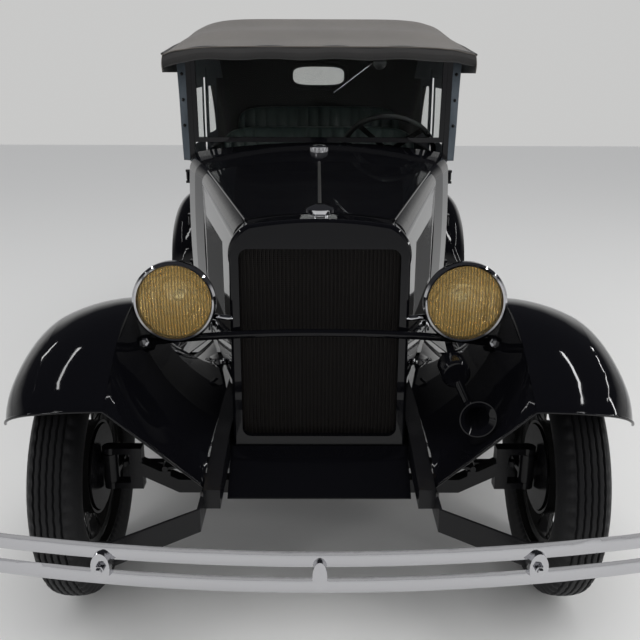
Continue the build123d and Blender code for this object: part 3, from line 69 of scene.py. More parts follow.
def grid_faces(rows, columns, wrap_rows=False, wrap_columns=False, flip=False, start=0):
    """Quads between neighbours of a rows x columns grid, as index arrays, no loop over vertices."""
    i = np.arange(rows if wrap_rows else rows - 1)[:, None]
    j = np.arange(columns if wrap_columns else columns - 1)[None, :]
    a = i * columns + j
    b = i * columns + (j + 1) % columns
    c = ((i + 1) % rows) * columns + (j + 1) % columns
    d = ((i + 1) % rows) * columns + j
    quads = np.stack([a, b, c, d], axis=-1).reshape(-1, 4) + start
    return (quads[:, ::-1] if flip else quads).tolist()


def lay_map(thing, uv):
    """Gives every corner its own vertex's place in the cut cloth, in metres."""
    layer = thing.data.uv_layers.new(name="cut")
    index = np.empty(len(thing.data.loops), dtype=np.int32)
    thing.data.loops.foreach_get("vertex_index", index)
    layer.data.foreach_set("uv", uv.reshape(-1, 2)[index].astype(np.float32).ravel())


def surface(name, points, body, material, wrap_rows=False, wrap_columns=False, flip=False, uv=None):
    """A grid of points (rows, columns, 3) as one smooth mesh; uv is a (rows, columns, 2) map."""
    rows, columns = points.shape[:2]
    faces = grid_faces(rows, columns, wrap_rows, wrap_columns, flip)
    thing = make_object(name, points.reshape(-1, 3), faces, body, material)
    if uv is not None:
        lay_map(thing, uv)
    return thing


def turned_rows(profile, centre, axis, count):
    """Rows (along, radius) swept round an axis: centre + along*a + radius*(cos t*b + sin t*c)."""
    a = np.array(axis, float) / np.linalg.norm(axis)
    b = np.cross(a, (0, 0, 1.0) if abs(a[2]) < 0.9 else (1.0, 0, 0))
    b /= np.linalg.norm(b)
    c = np.cross(a, b)
    t = np.linspace(0, 2 * math.pi, count, endpoint=False)
    ring = np.cos(t)[:, None] * b + np.sin(t)[:, None] * c
    profile = np.array(profile, float)
    return np.array(centre) + profile[None, :, :1] * a + profile[None, :, 1:] * ring[:, None, :]


def turned(name, profile, centre, axis, body, material, count=48, flip=False):
    """A turned piece from rows (along, radius)."""
    points = turned_rows(profile, centre, axis, count)
    return surface(name, points, body, material, wrap_rows=True, flip=flip)


def tube(name, path, radius, body, material, sides=10):
    """A round bar along a path: each ring is radius*(cos t*n + sin t*m) about its point."""
    path = np.array(path, float)
    run = np.gradient(path, axis=0)
    run /= np.linalg.norm(run, axis=1)[:, None]
    up = np.where(np.abs(run[:, 2:]) < 0.9, np.array([[0, 0, 1.0]]), np.array([[1.0, 0, 0]]))
    n = np.cross(run, up)
    n /= np.linalg.norm(n, axis=1)[:, None]
    m = np.cross(run, n)
    t = np.linspace(0, 2 * math.pi, sides, endpoint=False)
    r = np.broadcast_to(np.asarray(radius, float), (len(path),))[:, None, None]
    ring = np.cos(t)[None, :, None] * n[:, None, :] + np.sin(t)[None, :, None] * m[:, None, :]
    points = path[:, None, :] + r * ring
    ends = [path[:1, None, :].repeat(sides, axis=1), points, path[-1:, None, :].repeat(sides, axis=1)]
    return surface(name, np.concatenate(ends), body, material, wrap_columns=True)


def place(x, station, z):
    """A point from millimetres: x, station behind the front axle, height."""
    return np.array([x / 1000, AXLE_Y + station / 1000, z / 1000])


def smooth_steps(low, high, value):
    """0 below low, 1 above high, and 3t^2 - 2t^3 between."""
    t = np.clip((value - low) / (high - low), 0, 1)
    return t * t * (3 - 2 * t)

# %% [markdown]
# Finishes. Three effects come back in many materials: a fine uneven grain, dust that settles on
# what faces up, and a woven cloth. Each is a shader node group with its own inputs, so every
# material can set its own scale and strength.

# %% Node groups
def put(node, **inputs):
    """Sets some of a node's inputs by name, with _ for a space."""
    for name, value in inputs.items():
        node.inputs[name.replace("_", " ")].default_value = value
    return node


def add(tree, kind, **inputs):
    """A new shader node with some of its inputs set."""
    return put(tree.nodes.new("ShaderNode" + kind), **inputs)


def wire(tree, *rows):
    """Links from outputs to inputs, one row each: (node, output, node, input)."""
    for source, output, target, into in rows:
        tree.links.new(source.outputs[output], target.inputs[into])


def math_node(tree, operation):
    """A Math node set to one operation."""
    node = add(tree, "Math")
    node.operation = operation
    return node


def new_group(name, outputs, **inputs):
    """An empty shader group: number inputs with their defaults, and number outputs."""
    group = bpy.data.node_groups.new(name, "ShaderNodeTree")
    for label, value in inputs.items():
        socket = group.interface.new_socket(label, in_out="INPUT", socket_type="NodeSocketFloat")
        socket.default_value = value
    for label in outputs:
        group.interface.new_socket(label, in_out="OUTPUT", socket_type="NodeSocketFloat")
    return group, group.nodes.new("NodeGroupInput"), group.nodes.new("NodeGroupOutput")


grain, gin, gout = new_group("Fine grain", ["Value", "Height"], Scale=40.0, Low=0.3, High=0.6)
coord, noise, span = add(grain, "TexCoord"), add(grain, "TexNoise", Detail=6), add(grain, "MapRange")
wire(grain, (coord, "Object", noise, "Vector"), (gin, "Scale", noise, "Scale"),
     (noise, "Fac", span, "Value"), (gin, "Low", span, "To Min"), (gin, "High", span, "To Max"),
     (span, "Result", gout, "Value"), (noise, "Fac", gout, "Height"))

dust, din, dout = new_group("Settled dust", ["Mask"], Amount=0.3, Scale=9.0)
shape, split = add(dust, "NewGeometry"), add(dust, "SeparateXYZ")
up = add(dust, "MapRange", From_Min=0.2, From_Max=1.0)
coord, noise = add(dust, "TexCoord"), add(dust, "TexNoise", Detail=8)
patch, whole = math_node(dust, "MULTIPLY"), math_node(dust, "MULTIPLY")
wire(dust, (shape, "Normal", split, 0), (split, "Z", up, "Value"),
     (coord, "Object", noise, "Vector"), (din, "Scale", noise, "Scale"),
     (up, "Result", patch, 0), (noise, "Fac", patch, 1),
     (patch, 0, whole, 0), (din, "Amount", whole, 1), (whole, 0, dout, "Mask"))

weave, win, wout = new_group("Plain weave", ["Height", "Shade"], Threads=700.0)
coord, both = add(weave, "TexCoord"), math_node(weave, "MULTIPLY")
for index, direction in enumerate("XY"):
    wave = add(weave, "TexWave", Distortion=0.6, Detail=1)
    wave.bands_direction = direction
    wire(weave, (coord, "UV", wave, "Vector"), (win, "Threads", wave, "Scale"), (wave, "Fac", both, index))
large = add(weave, "TexNoise", Scale=5, Detail=5)
wire(weave, (coord, "Object", large, "Vector"), (both, 0, wout, "Height"), (large, "Fac", wout, "Shade"))
print("groups", [n.name for n in (grain, dust, weave)])

# %% [markdown]
# A finish starts from a Principled shader. What is the same all over is typed into its sockets,
# and what varies is linked: the grain moves the roughness, dust lightens the colour.

# %% Finishes
DUST_COLOUR = (0.25, 0.23, 0.2)
WAVES_PER_METRE = 0.314     # a wave texture's scale for one band a metre wide


def plain(name, **inputs):
    """A new material, its node tree, and its Principled shader with some inputs set."""
    material = bpy.data.materials.new(name)
    material.use_nodes = True
    tree = material.node_tree
    return material, tree, put(tree.nodes["Principled BSDF"], **inputs)


def use(tree, group, **inputs):
    """A node that stands for one of the groups above."""
    node = add(tree, "Group")
    node.node_tree = group
    return put(node, **inputs)


def mixer(tree, a, b):
    """A Mix node from colour a to colour b."""
    node = add(tree, "Mix")
    node.data_type = "RGBA"
    return put(node, A=(*a, 1), B=(*b, 1))


def waves(tree, direction, pitch):
    """A wave along one axis of the piece; pitch is in metres."""
    wave = add(tree, "TexWave", Scale=WAVES_PER_METRE / pitch)
    wave.bands_direction = direction
    wire(tree, (add(tree, "TexCoord"), "Object", wave, "Vector"))
    return wave


def bumped(tree, node, output, strength, distance):
    """Lets one output drive the shader's normal as a height."""
    rise = add(tree, "Bump", Strength=strength, Distance=distance)
    wire(tree, (node, output, rise, "Height"), (rise, "Normal", tree.nodes["Principled BSDF"], "Normal"))


def finish(name, colour, rough, metal=0.0, grain_scale=60.0, dusty=0.0, bump=0.0, coat=0.0, ior=1.45):
    """A painted, metal or rubber finish. rough is (low, high); dusty says how far it pales on top."""
    material, tree, shader = plain(name, Metallic=metal, Coat_Weight=coat, Coat_Roughness=0.04, IOR=ior,
                                   Base_Color=(*colour, 1))
    fine = use(tree, grain, Scale=grain_scale, Low=rough[0], High=rough[1])
    settled, mix = use(tree, dust, Amount=dusty), mixer(tree, colour, DUST_COLOUR)
    wire(tree, (fine, "Value", shader, "Roughness"), (settled, "Mask", mix, "Factor"),
         (mix, "Result", shader, "Base Color"))
    if bump:
        bumped(tree, fine, "Height", 0.5, bump)
    return material


gloss_black = finish("body_enamel", (0.003, 0.003, 0.004), (0.02, 0.06), grain_scale=14, ior=1.36)
wheel_black = finish("wheel_enamel", (0.005, 0.005, 0.005), (0.12, 0.24), grain_scale=30, dusty=0.02,
                     ior=1.36)
chassis_black = finish("frame_enamel", (0.005, 0.005, 0.006), (0.16, 0.30), grain_scale=45, dusty=0.02,
                       bump=0.0002, ior=1.33)
bright = finish("plated_metal", (0.52, 0.52, 0.54), (0.03, 0.09), metal=1.0, grain_scale=9, bump=0.003)
silvered = finish("silvered_bowl", (1.0, 0.84, 0.48), (0.03, 0.10), metal=1.0, grain_scale=38, bump=0.05)
dull_metal = finish("bolt_steel", (0.42, 0.41, 0.40), (0.25, 0.45), metal=1.0, grain_scale=90, dusty=0.1)
rubber = finish("tyre_rubber", (0.007, 0.007, 0.008), (0.45, 0.7), grain_scale=160, dusty=0.02,
                bump=0.0002, ior=1.36)
leather = finish("seat_leather", (0.045, 0.065, 0.060), (0.24, 0.38), grain_scale=420, bump=0.0005)
core_black = finish("core_metal", (0.010, 0.008, 0.007), (0.45, 0.7), metal=0.3, grain_scale=500, bump=0.0004)
mat_rubber = finish("floor_mat", (0.02, 0.019, 0.018), (0.6, 0.8), grain_scale=200, dusty=0.08, bump=0.0005)
red_glass = finish("tail_glass", (0.35, 0.01, 0.01), (0.08, 0.15), coat=1.0, grain_scale=60)
wood_black = finish("rim_black", (0.008, 0.008, 0.008), (0.12, 0.25), grain_scale=60)
dial_white = finish("dial_face", (0.55, 0.53, 0.46), (0.3, 0.5), grain_scale=120)
# fine level ribs on the radiator core
ribs = waves(core_black.node_tree, "Z", 0.006)
bumped(core_black.node_tree, ribs, "Fac", 0.8, 0.0015)


def cloth(name, colour, pale, threads=260.0):
    """Woven cloth: thread bump on the piece's own map, soft patches of fading, and sheen."""
    material, tree, shader = plain(name, Roughness=0.9, Sheen_Weight=0.25)
    woven, mix = use(tree, weave, Threads=threads), mixer(tree, colour, pale)
    wire(tree, (woven, "Shade", mix, "Factor"), (mix, "Result", shader, "Base Color"))
    bumped(tree, woven, "Height", 0.6, 0.0006)
    return material


top_cloth = cloth("top_cloth", (0.085, 0.075, 0.066), (0.135, 0.12, 0.105))
dark_cloth = cloth("top_binding", (0.022, 0.021, 0.021), (0.038, 0.036, 0.035))
lining = cloth("top_lining", (0.018, 0.019, 0.018), (0.03, 0.031, 0.03))
flap_cloth = cloth("curtain_cloth", (0.045, 0.058, 0.072), (0.085, 0.105, 0.125))


def clear(name, colour, rough, ior=1.45, through=1.0, alpha=1.0):
    """Glass, or a thin film that is seen through by its alpha."""
    material, tree, shader = plain(name, Base_Color=(*colour, 1), Transmission_Weight=through, Alpha=alpha,
                                   IOR=ior)
    fine = use(tree, grain, Scale=30.0, Low=rough, High=rough + 0.03)
    wire(tree, (fine, "Value", shader, "Roughness"))
    return material


pane = clear("window_glass", (0.95, 0.98, 0.97), 0.0, ior=1.1)
film = clear("window_film", (0.80, 0.80, 0.72), 0.12, ior=1.3, through=0.0, alpha=0.30)
amber = clear("amber_glass", (1.0, 0.84, 0.50), 0.03, through=0.0)


def fluted_with_painted_light(material, pitch, pale, painted_shade_colour):
    """Upright flutes: a wave across the lens tilts it. The same wave paints a deeper, more opaque colour
    between the ribs as painted shade and a pale colour on them as painted highlight.
    """
    tree = material.node_tree
    shader, wave, mix = tree.nodes["Principled BSDF"], waves(tree, "X", pitch), mixer(tree, painted_shade_colour, pale)
    # opacity stripes that go with the painted shade: more opaque between the ribs, nearly clear on them
    painted_stripe_alpha = add(tree, "MapRange", To_Min=0.40, To_Max=0.05)
    wire(tree, (wave, "Fac", mix, "Factor"), (mix, "Result", shader, "Base Color"),
         (wave, "Fac", painted_stripe_alpha, "Value"), (painted_stripe_alpha, "Result", shader, "Alpha"))
    bumped(tree, wave, "Fac", 0.9, 0.003)


FLUTE_PITCH = 0.0085
# the pale colour is painted highlight on the ribs and the dark one is painted shade between them, in place of
# refraction
fluted_with_painted_light(amber, FLUTE_PITCH, (1.0, 0.78, 0.36), (0.20, 0.10, 0.015))

# %% [markdown]
# The frame's own nodes keep their shape and only change finish, one table row each.

# %% Dress the frame
FINISH_OF_SLOT = {
    "tyre_rubber": rubber, "wheel_paint": wheel_black, "chassis_black": chassis_black,
    "core_metal": core_black, "body_paint": gloss_black, "floor_boards": mat_rubber,
    "curtain_cloth": flap_cloth, "seat_leather": leather, "window_glass": pane, "top_cloth": top_cloth,
    "bright_metal": bright, "amber_glass": amber, "tail_lamp_metal": red_glass, "wheel_rim_black": wood_black,
}
FINISH_OF_NODE = {"radiator_apron": gloss_black, "tail_lamps": gloss_black}
for row in frame["record"]["subparts"]:
    node = frame["nodes"].get(row["node"])
    if node is not None:
        chosen = FINISH_OF_NODE.get(row["node"], FINISH_OF_SLOT[row["material_slot"]])
        for index in range(len(node.material_slots)):
            node.material_slots[index].material = chosen

# %% [markdown]
# Tyres. The real tread has upright ribs split by fine cuts, with shoulder blocks. Round the tyre
# and across it are the two parameters; grooves are taken off the radius, so nothing grows.

# %% Tyres
RIM_R = 0.2465
GROOVES = (-0.035, -0.0175, 0.0, 0.0175, 0.035)
GROOVE_HALF, GROOVE_DEPTH, BLOCK_DEPTH = 0.0026, 0.008, 0.004
STEPS_ROUND = 60
SECTION = np.array([(-40, 246.5), (-56, 258), (-67, 282), (-70.5, 308), (-67, 334), (-59, 354), (-50, 368),
                    (-46, 371), (-25, 376.4), (0, 378)]) / 1000


def tyre_section():
    """Rim edge to rim edge: the side walls eased by a running mean, sampled finely across the tread."""
    half = np.vstack([SECTION, SECTION[-2::-1] * (-1, 1)])
    length = np.r_[0, np.cumsum(np.linalg.norm(np.diff(half, axis=0), axis=1))]
    fine = np.linspace(0, length[-1], 901)
    line = np.stack([np.interp(fine, length, half[:, k]) for k in (0, 1)], axis=-1)
    window = 31
    padded = [np.pad(line[:, k], window // 2, mode="edge") for k in (0, 1)]
    eased = np.stack([np.convolve(row, np.ones(window) / window, "valid") for row in padded], axis=-1)
    eased[[0, -1]] = line[[0, -1]]
    middle = length[-1] / 2
    picks = np.unique(np.r_[np.linspace(0, length[-1], 44), middle + np.linspace(-0.056, 0.056, 80)])
    return [np.interp(picks, fine, eased[:, k]) for k in (0, 1)]


def tyre(name, centre, axis, body, node):
    """Radius = smooth section(across) - grooves(across, round); grooves are steps at fixed widths."""
    across, radius = tyre_section()
    turns = np.linspace(0, 2 * math.pi, 300, endpoint=False)
    step = (turns * STEPS_ROUND / (2 * math.pi)) % 1
    zigzag = 0.0012 * (np.abs(step - 0.5) * 4 - 1)
    w = across[None, :] + zigzag[:, None]
    grooves = sum(np.exp(-((w - middle) / GROOVE_HALF) ** 4) for middle in GROOVES)
    band = smooth_steps(0.038, 0.042, np.abs(w)) * (1 - smooth_steps(0.054, 0.060, np.abs(w)))
    blocks = (np.abs(step[:, None] - 0.5) < 0.12) * band
    cuts = GROOVE_DEPTH * np.clip(grooves, 0, 1) * (np.abs(across) < 0.045)
    r = radius[None, :] - cuts - BLOCK_DEPTH * blocks
    a = np.array(axis, float)
    b = np.array([0, 0, 1.0])
    c = np.cross(a, b)
    ring = np.cos(turns)[:, None] * b + np.sin(turns)[:, None] * c
    points = np.array(centre) + across[None, :, None] * a + r[:, :, None] * ring[:, None, :]
    inner = np.array(centre) + across[None, [-1, 0], None] * a + RIM_R * ring[:, None, :]
    thing = surface(name, np.concatenate([points, inner], axis=1), body, rubber,
                    wrap_rows=True, wrap_columns=True)
    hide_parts(node)


TYRES = [  # place on the car, x, station, height in millimetres
    ("front_left", 711, 0, 378),
    ("front_right", -711, 0, 378),
    ("rear_left", 711, 2630, 378),
    ("rear_right", -711, 2630, 378),
]
for name, x, s, z in TYRES:
    tyre("tread_" + name, place(x, s, z), (1, 0, 0), "wheel_" + name, "tyre_" + name)
tyre("tread_spare", place(0, 3132, 800), (0, 1, 0), "chassis", "spare_tyre")
print("tyres done")

# %% [markdown]
# The raised top is stretched cloth: a deck that sags a little between its bows, valances that
# hang at the sides, quarters and a back that tuck in to the body's belt, and a dark roll at the
# header. Deck and walls share one edge curve, so the seams close exactly.

# %% Top: shape functions
BOWS = np.array([1256, 1560, 1885, 2200, 2480, 2840]) / 1000
CROWN = np.array([1.636, 1.712, 1.779, 1.780, 1.778, 1.752])
EDGE_Z = np.array([1.604, 1.642, 1.676, 1.672, 1.667, 1.652])
TOP_HALF, TAIL_S, CORNER = 0.650, 2.868, 0.200
BELT_Z, VALANCE_Z, QUARTER_S = 1.1503, 1.532, 2.466


def tail_edge(x):
    """Station of the deck's rear edge: straight across, then a quarter circle at each corner."""
    over = np.clip(np.abs(x) - (TOP_HALF - CORNER), 0, CORNER)
    return TAIL_S - CORNER + np.sqrt(np.maximum(CORNER ** 2 - over ** 2, 0)) - 0.018 * (x / TOP_HALF) ** 2


def deck_height(x, s):
    """Crown(s) bowed down to the edge by a high power of x, a sag between bows, and a rounded tail."""
    crown, edge = np.interp(s, BOWS, CROWN), np.interp(s, BOWS, EDGE_Z)
    bow = 1 - np.abs(x / TOP_HALF) ** 7
    index = np.clip(np.searchsorted(BOWS, s) - 1, 0, len(BOWS) - 2)
    share = np.clip((s - BOWS[index]) / (BOWS[index + 1] - BOWS[index]), 0, 1)
    sag = 0.007 * np.sin(math.pi * share) ** 2 * bow
    near = np.clip(1 - (tail_edge(x) - s) / 0.09, 0, 1)
    pucker = 0.0012 * np.sin(x * 70) * smooth_steps(0.45, 0.65, np.abs(x))
    return edge + (crown - edge) * bow - sag - 0.045 * near ** 2 + pucker


def solid(thing, thickness, lined=False):
    """Gives a sheet its thickness behind the modelled face, with a dark lining where asked."""
    wall = thing.modifiers.new("wall", "SOLIDIFY")
    wall.thickness = thickness
    wall.offset = -1
    if lined:
        thing.data.materials.append(lining)
        wall.material_offset = 1
    return thing


def declare_sheet(thing):
    mesh = thing.data
    points = np.array([v.co for v in mesh.vertices])
    width = max(float(np.ptp(points[:, 0])), 0.02)
    width = max(width, float(np.ptp(points[:, 1]))) if width < 0.2 else width

# %% [markdown]
# The deck is the outer skin over the bows. Its height formula is sampled on a grid that follows
# the curved tail, and the cloth gets its thickness and dark lining from a modifier.

# %% Top: deck
p, q = np.meshgrid(np.linspace(-1, 1, 121), np.linspace(0, 1, 141))
x = TOP_HALF * p
s = BOWS[0] + q * (tail_edge(x) - BOWS[0])
deck = np.stack([x, AXLE_Y + s, deck_height(x, s)], axis=-1)
deck_cloth = surface("top_deck", deck, "chassis", top_cloth, uv=np.stack([x, s], axis=-1))
solid(deck_cloth, 0.004, lined=True)
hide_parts("top_canopy")
declare_sheet(deck_cloth)
print("deck", deck.reshape(-1, 3).min(0).round(3), deck.reshape(-1, 3).max(0).round(3))

# %% [markdown]
# Walls run round the plan from the left quarter over the back to the right one. One parameter goes
# round, the other from the belt up to the deck's edge. The cloth draws in a little half way up,
# and the back has its window cut out as a clean set of faces.

# %% Top: quarters and back
SIDE_COUNT = 18


def plan_line(half, tail, corner, s0, count):
    """(x, station) points round a plan with rounded rear corners, spaced by where x falls."""
    side = np.stack([np.full(SIDE_COUNT, half), np.linspace(s0, tail - corner, SIDE_COUNT)], axis=-1)
    t = np.linspace(0, math.pi / 2, SIDE_COUNT)[1:]
    turn = np.stack([half - corner + corner * np.cos(t), tail - corner + corner * np.sin(t)], axis=-1)
    back = np.linspace(1, -1, count)[1:-1, None] * [[half - corner, 0]] + [[0, tail]]
    left = np.concatenate([side, turn])
    return np.concatenate([left, back, (left * (-1, 1))[::-1]])


ACROSS = 2 * 31 + 1
top_line = plan_line(TOP_HALF, TAIL_S, CORNER, QUARTER_S, ACROSS)
tucked = np.minimum(top_line[:, 1], tail_edge(top_line[:, 0]))
top_line[:, 1] = np.where(np.arange(len(top_line)) < SIDE_COUNT, top_line[:, 1], tucked)
low_line = plan_line(0.585, 2.999, 0.21, QUARTER_S, ACROSS)
low_line[:, 0] *= 1 - 0.03 * smooth_steps(2.5, 2.9, low_line[:, 1])
top_z = deck_height(top_line[:, 0], top_line[:, 1])
WINDOW_LOW, WINDOW_HIGH, WINDOW_HALF = 1.455, 1.573, 0.155
sill, head = ((z - BELT_Z) / (1.70 - BELT_Z) for z in (WINDOW_LOW, WINDOW_HIGH))
v = np.unique(np.r_[np.linspace(0, 1, 41), sill, head])[:, None]
draw = 0.012 * np.sin(math.pi * v)
middle = np.array([0, 2.5])
wall_xy = low_line[None] * (1 - v[..., None]) + top_line[None] * v[..., None]
outward = (wall_xy - middle) / np.linalg.norm(wall_xy - middle, axis=-1, keepdims=True)
wall_xy = wall_xy - draw[..., None] * outward
wall_z = BELT_Z + v * (top_z[None] - BELT_Z)
wall = np.stack([wall_xy[..., 0], AXLE_Y + wall_xy[..., 1], wall_z], axis=-1)
along = np.r_[0, np.cumsum(np.linalg.norm(np.diff(top_line, axis=0), axis=1))]
wall_uv = np.stack([np.broadcast_to(along, wall_z.shape), wall_z], axis=-1)
rows, columns = wall.shape[:2]
quads = np.array(grid_faces(rows, columns))
centres = wall.reshape(-1, 3)[quads].mean(axis=1)
in_width = (np.abs(centres[:, 0]) < WINDOW_HALF) & (centres[:, 1] > 1.2)
cut = in_width & (centres[:, 2] > WINDOW_LOW) & (centres[:, 2] < WINDOW_HIGH)
kept = quads[~cut].tolist()
back_cloth = make_object("top_quarters", wall.reshape(-1, 3), kept, "chassis", top_cloth)
lay_map(back_cloth, wall_uv)
solid(back_cloth, 0.004, lined=True)
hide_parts("top_canopy")
declare_sheet(back_cloth)
hole = wall.reshape(-1, 3)[np.unique(quads[cut])]
print("back window", hole.min(0).round(3), hole.max(0).round(3))

# %% [markdown]
# The back window is a clear film in a padded cloth rim. Its outline is a superellipse laid on the
# leaning back wall. The valances close the sides under the deck, and a dark roll ends it in front.

# %% Top: window frame, valances, header roll
BORDER = 0.03


def power(value, exponent):
    """Signed power, which keeps a superellipse closed on both sides."""
    return np.sign(value) * np.abs(value) ** exponent


t = np.linspace(0, 2 * math.pi, 96, endpoint=False)
squircle = np.stack([power(np.cos(t), 0.55), power(np.sin(t), 0.55)], axis=-1)
hole_low, hole_high = hole[:, 2].min(), hole[:, 2].max()
wx, wz = hole[:, 0].max() - 0.004, (hole_high - hole_low) / 2 - 0.002
mid_y, mid_z = hole[:, 1].mean(), (hole_high + hole_low) / 2
lean = (hole[hole[:, 2].argmax(), 1] - hole[hole[:, 2].argmin(), 1]) / (hole_high - hole_low)


def window_outline(grow):
    """The superellipse, grown by a margin: y leans back with z."""
    x, z = (wx + grow) * squircle[:, 0], (wz + grow) * squircle[:, 1]
    return np.stack([x, mid_y + lean * z, mid_z + z], axis=-1)


ring, outer = window_outline(0.0), window_outline(BORDER)
rim = np.stack([outer + (0, 0.003, 0), ring + (0, 0.006, 0), ring - (0, 0.006, 0), outer - (0, 0.008, 0)])
surface("back_window_rim", rim, "chassis", dark_cloth, wrap_rows=True, wrap_columns=True,
        uv=np.stack([rim[..., 0], rim[..., 2]], axis=-1))
disc = np.stack([ring * 0 + ring.mean(0), ring])
solid(surface("back_window_film", disc, "chassis", film, wrap_columns=True), 0.002)


def valance(label, side):
    """Side strip, hung from the deck's edge to a waved hem: z falls evenly, x bows by sin."""
    s, v = np.meshgrid(np.linspace(BOWS[0], QUARTER_S, 90), np.linspace(0, 1, 10))
    z_top = deck_height(np.full_like(s, TOP_HALF), s)
    z = z_top + v * (VALANCE_Z - z_top)
    x = side * (TOP_HALF + 0.004 * np.sin(math.pi * v) + 0.0035 * v * np.sin(s * 26))
    points = np.stack([x, AXLE_Y + s, z], axis=-1)
    return surface("top_valance_" + label, points, "chassis", top_cloth,
                   flip=side > 0, uv=np.stack([s, z], axis=-1))


for label, side in SIDES:
    strip = solid(valance(label, side), 0.004, lined=True)
    declare_sheet(strip)
    edge_s = np.linspace(BOWS[0], 2.66, 80)
    edge = np.stack([np.full_like(edge_s, side * (TOP_HALF + 0.001)), AXLE_Y + edge_s,
                     deck_height(np.full_like(edge_s, TOP_HALF), edge_s)], axis=-1)
    tube("top_welt_" + label, edge, 0.005, "chassis", dark_cloth, sides=8)
u, t = np.meshgrid(np.linspace(-1, 1, 81), np.linspace(0, 2 * math.pi, 17))
roll_x = (TOP_HALF + 0.002) * u
roll_z = deck_height(roll_x, np.full_like(u, BOWS[0])) - 0.024
droop = 0.003 * np.sin(roll_x * 23)
roll_y = AXLE_Y + BOWS[0] + 0.014 - 0.016 * np.cos(t)
roll = np.stack([roll_x, roll_y, roll_z + droop + 0.027 * np.sin(t)], axis=-1)
surface("header_roll", roll, "chassis", dark_cloth, flip=True,
        uv=np.stack([roll_x, t * 0.02], axis=-1))
print("top done")

# %% [markdown]
# Side curtains button on to the doors and swing with them: a cloth border round a yellowed film.
# The border is one sheet with the window's faces left out.

# %% Side curtains
CURTAIN_LOW, CURTAIN_HIGH = 1.1503, 1.524
WINDOW_U, WINDOW_V = (0.16, 0.84), (0.2, 0.84)


def curtain(name, x0, s0, x1, s1, side):
    """A flat sheet between two upright lines, with a soft wave out of its plane."""
    us = np.unique(np.r_[np.linspace(0, 1, 31), WINDOW_U])
    vs = np.unique(np.r_[np.linspace(0, 1, 25), WINDOW_V])
    u, v = np.meshgrid(us, vs)
    lead = 0.018 * smooth_steps(0.5, 1.0, v) if "front" in name else 0 * v
    s = s0 + lead + u * (s1 - s0 - lead)
    x = x0 + (x1 - x0) * u + 0.002 * np.sin(u * 9) * np.sin(math.pi * v)
    z = CURTAIN_LOW + v * (CURTAIN_HIGH - CURTAIN_LOW)
    points = np.stack([side * x, AXLE_Y + s, z], axis=-1).reshape(-1, 3)
    quads = np.array(grid_faces(*u.shape, flip=side < 0))
    mid_u, mid_v = u.ravel()[quads].mean(1), v.ravel()[quads].mean(1)
    inside = (mid_u > WINDOW_U[0]) & (mid_u < WINDOW_U[1]) & (mid_v > WINDOW_V[0]) & (mid_v < WINDOW_V[1])
    body = "door_" + name
    sheet = make_object("curtain_cloth_" + name, points, quads[~inside].tolist(), body,
                        flap_cloth)
    lay_map(sheet, np.stack([s, v * 0.37], -1))
    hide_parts("curtain_" + name)
    declare_sheet(sheet)
    make_object("curtain_film_" + name, points, quads[inside].tolist(), body, film)


for row, s0, s1, xa, xb in (("front", 1.344, 1.948, 0.5475, 0.5785), ("rear", 2.002, 2.450, 0.5795, 0.5765)):
    for label, side in SIDES:
        curtain("%s_%s" % (row, label), xa, s0, xb, s1, side)

# %% [markdown]
# Three narrow cloths close what the door curtains leave open: a flap with snaps outside each
# windshield post, a strip between the doors, and a header along the top edge inside.

# %% Flaps and strips
SNAP = [(0.0, 0.0), (0.0, 0.007), (-0.003, 0.0065), (-0.0045, 0.003), (-0.005, 0.0)]


def post_flap(name, side):
    """Narrow cloth flap outside the windshield post: x = low line to high line, with a soft wave."""
    u, v = np.meshgrid(np.linspace(0, 1, 13), np.linspace(0, 1, 41))
    z = 1.165 + 0.425 * v
    x = 0.563 + 0.008 * v + (0.030 + 0.010 * v) * u
    s = 1.316 + 0.014 * u + 0.033 * v + 0.003 * np.sin(9 * v + 2 * u)
    points = np.stack([side * x, AXLE_Y + s, z], axis=-1)
    flap = surface("post_flap_" + name, points, "chassis", flap_cloth, flip=side < 0,
                   uv=np.stack([x, z], axis=-1))
    solid(flap, 0.003)
    declare_sheet(flap)
    for level, share in (("low", 0.34), ("middle", 0.60), ("high", 0.86)):
        row = int(round(share * 40))
        knob = points[row, 6] - np.array([0, 0.003, 0])
        turned("snap_%s_%s" % (level, name), SNAP, knob, (0, 1, 0), "chassis", wheel_black,
               count=20)


def curtain_post(name, side):
    """Strip between the front and rear side curtains, hung from the valance: x bows by sin."""
    u, v = np.meshgrid(np.linspace(0, 1, 9), np.linspace(0, 1, 31))
    x = 0.566 + 0.003 * np.sin(math.pi * v)
    s = 1.936 + 0.086 * u
    points = np.stack([side * x, AXLE_Y + s, 1.156 + 0.400 * v], axis=-1)
    strip = surface("curtain_post_" + name, points, "chassis", flap_cloth, flip=side < 0,
                    uv=np.stack([s, points[..., 2]], axis=-1))
    solid(strip, 0.003)
    declare_sheet(strip)


def curtain_header(name, side):
    """Level strip inside the curtains' top edge: z and x wave by sin along the car."""
    u, v = np.meshgrid(np.linspace(0, 1, 121), np.linspace(0, 1, 9))
    s = 1.372 + 1.33 * u
    x = 0.569 + 0.016 * v + 0.002 * np.sin(14 * u)
    z = 1.505 + 0.095 * v + 0.004 * np.sin(5 * u)
    points = np.stack([side * x, AXLE_Y + s, z], axis=-1)
    header = surface("curtain_header_" + name, points, "chassis", flap_cloth,
                     flip=side < 0, uv=np.stack([s, z], axis=-1))
    solid(header, 0.003)
    declare_sheet(header)


for label, side in SIDES:
    post_flap(label, side)
    curtain_post(label, side)
    curtain_header(label, side)
print("curtains done")

# %% [markdown]
# Seats are pleated leather over springs. Each cushion is a closed rounded box whose top is split
# into upright channels about 65 mm wide: the pleats are the absolute value of a sine.

# %% Seats
PLEAT_WIDTH = 0.065
SEAT_HALF = 0.500


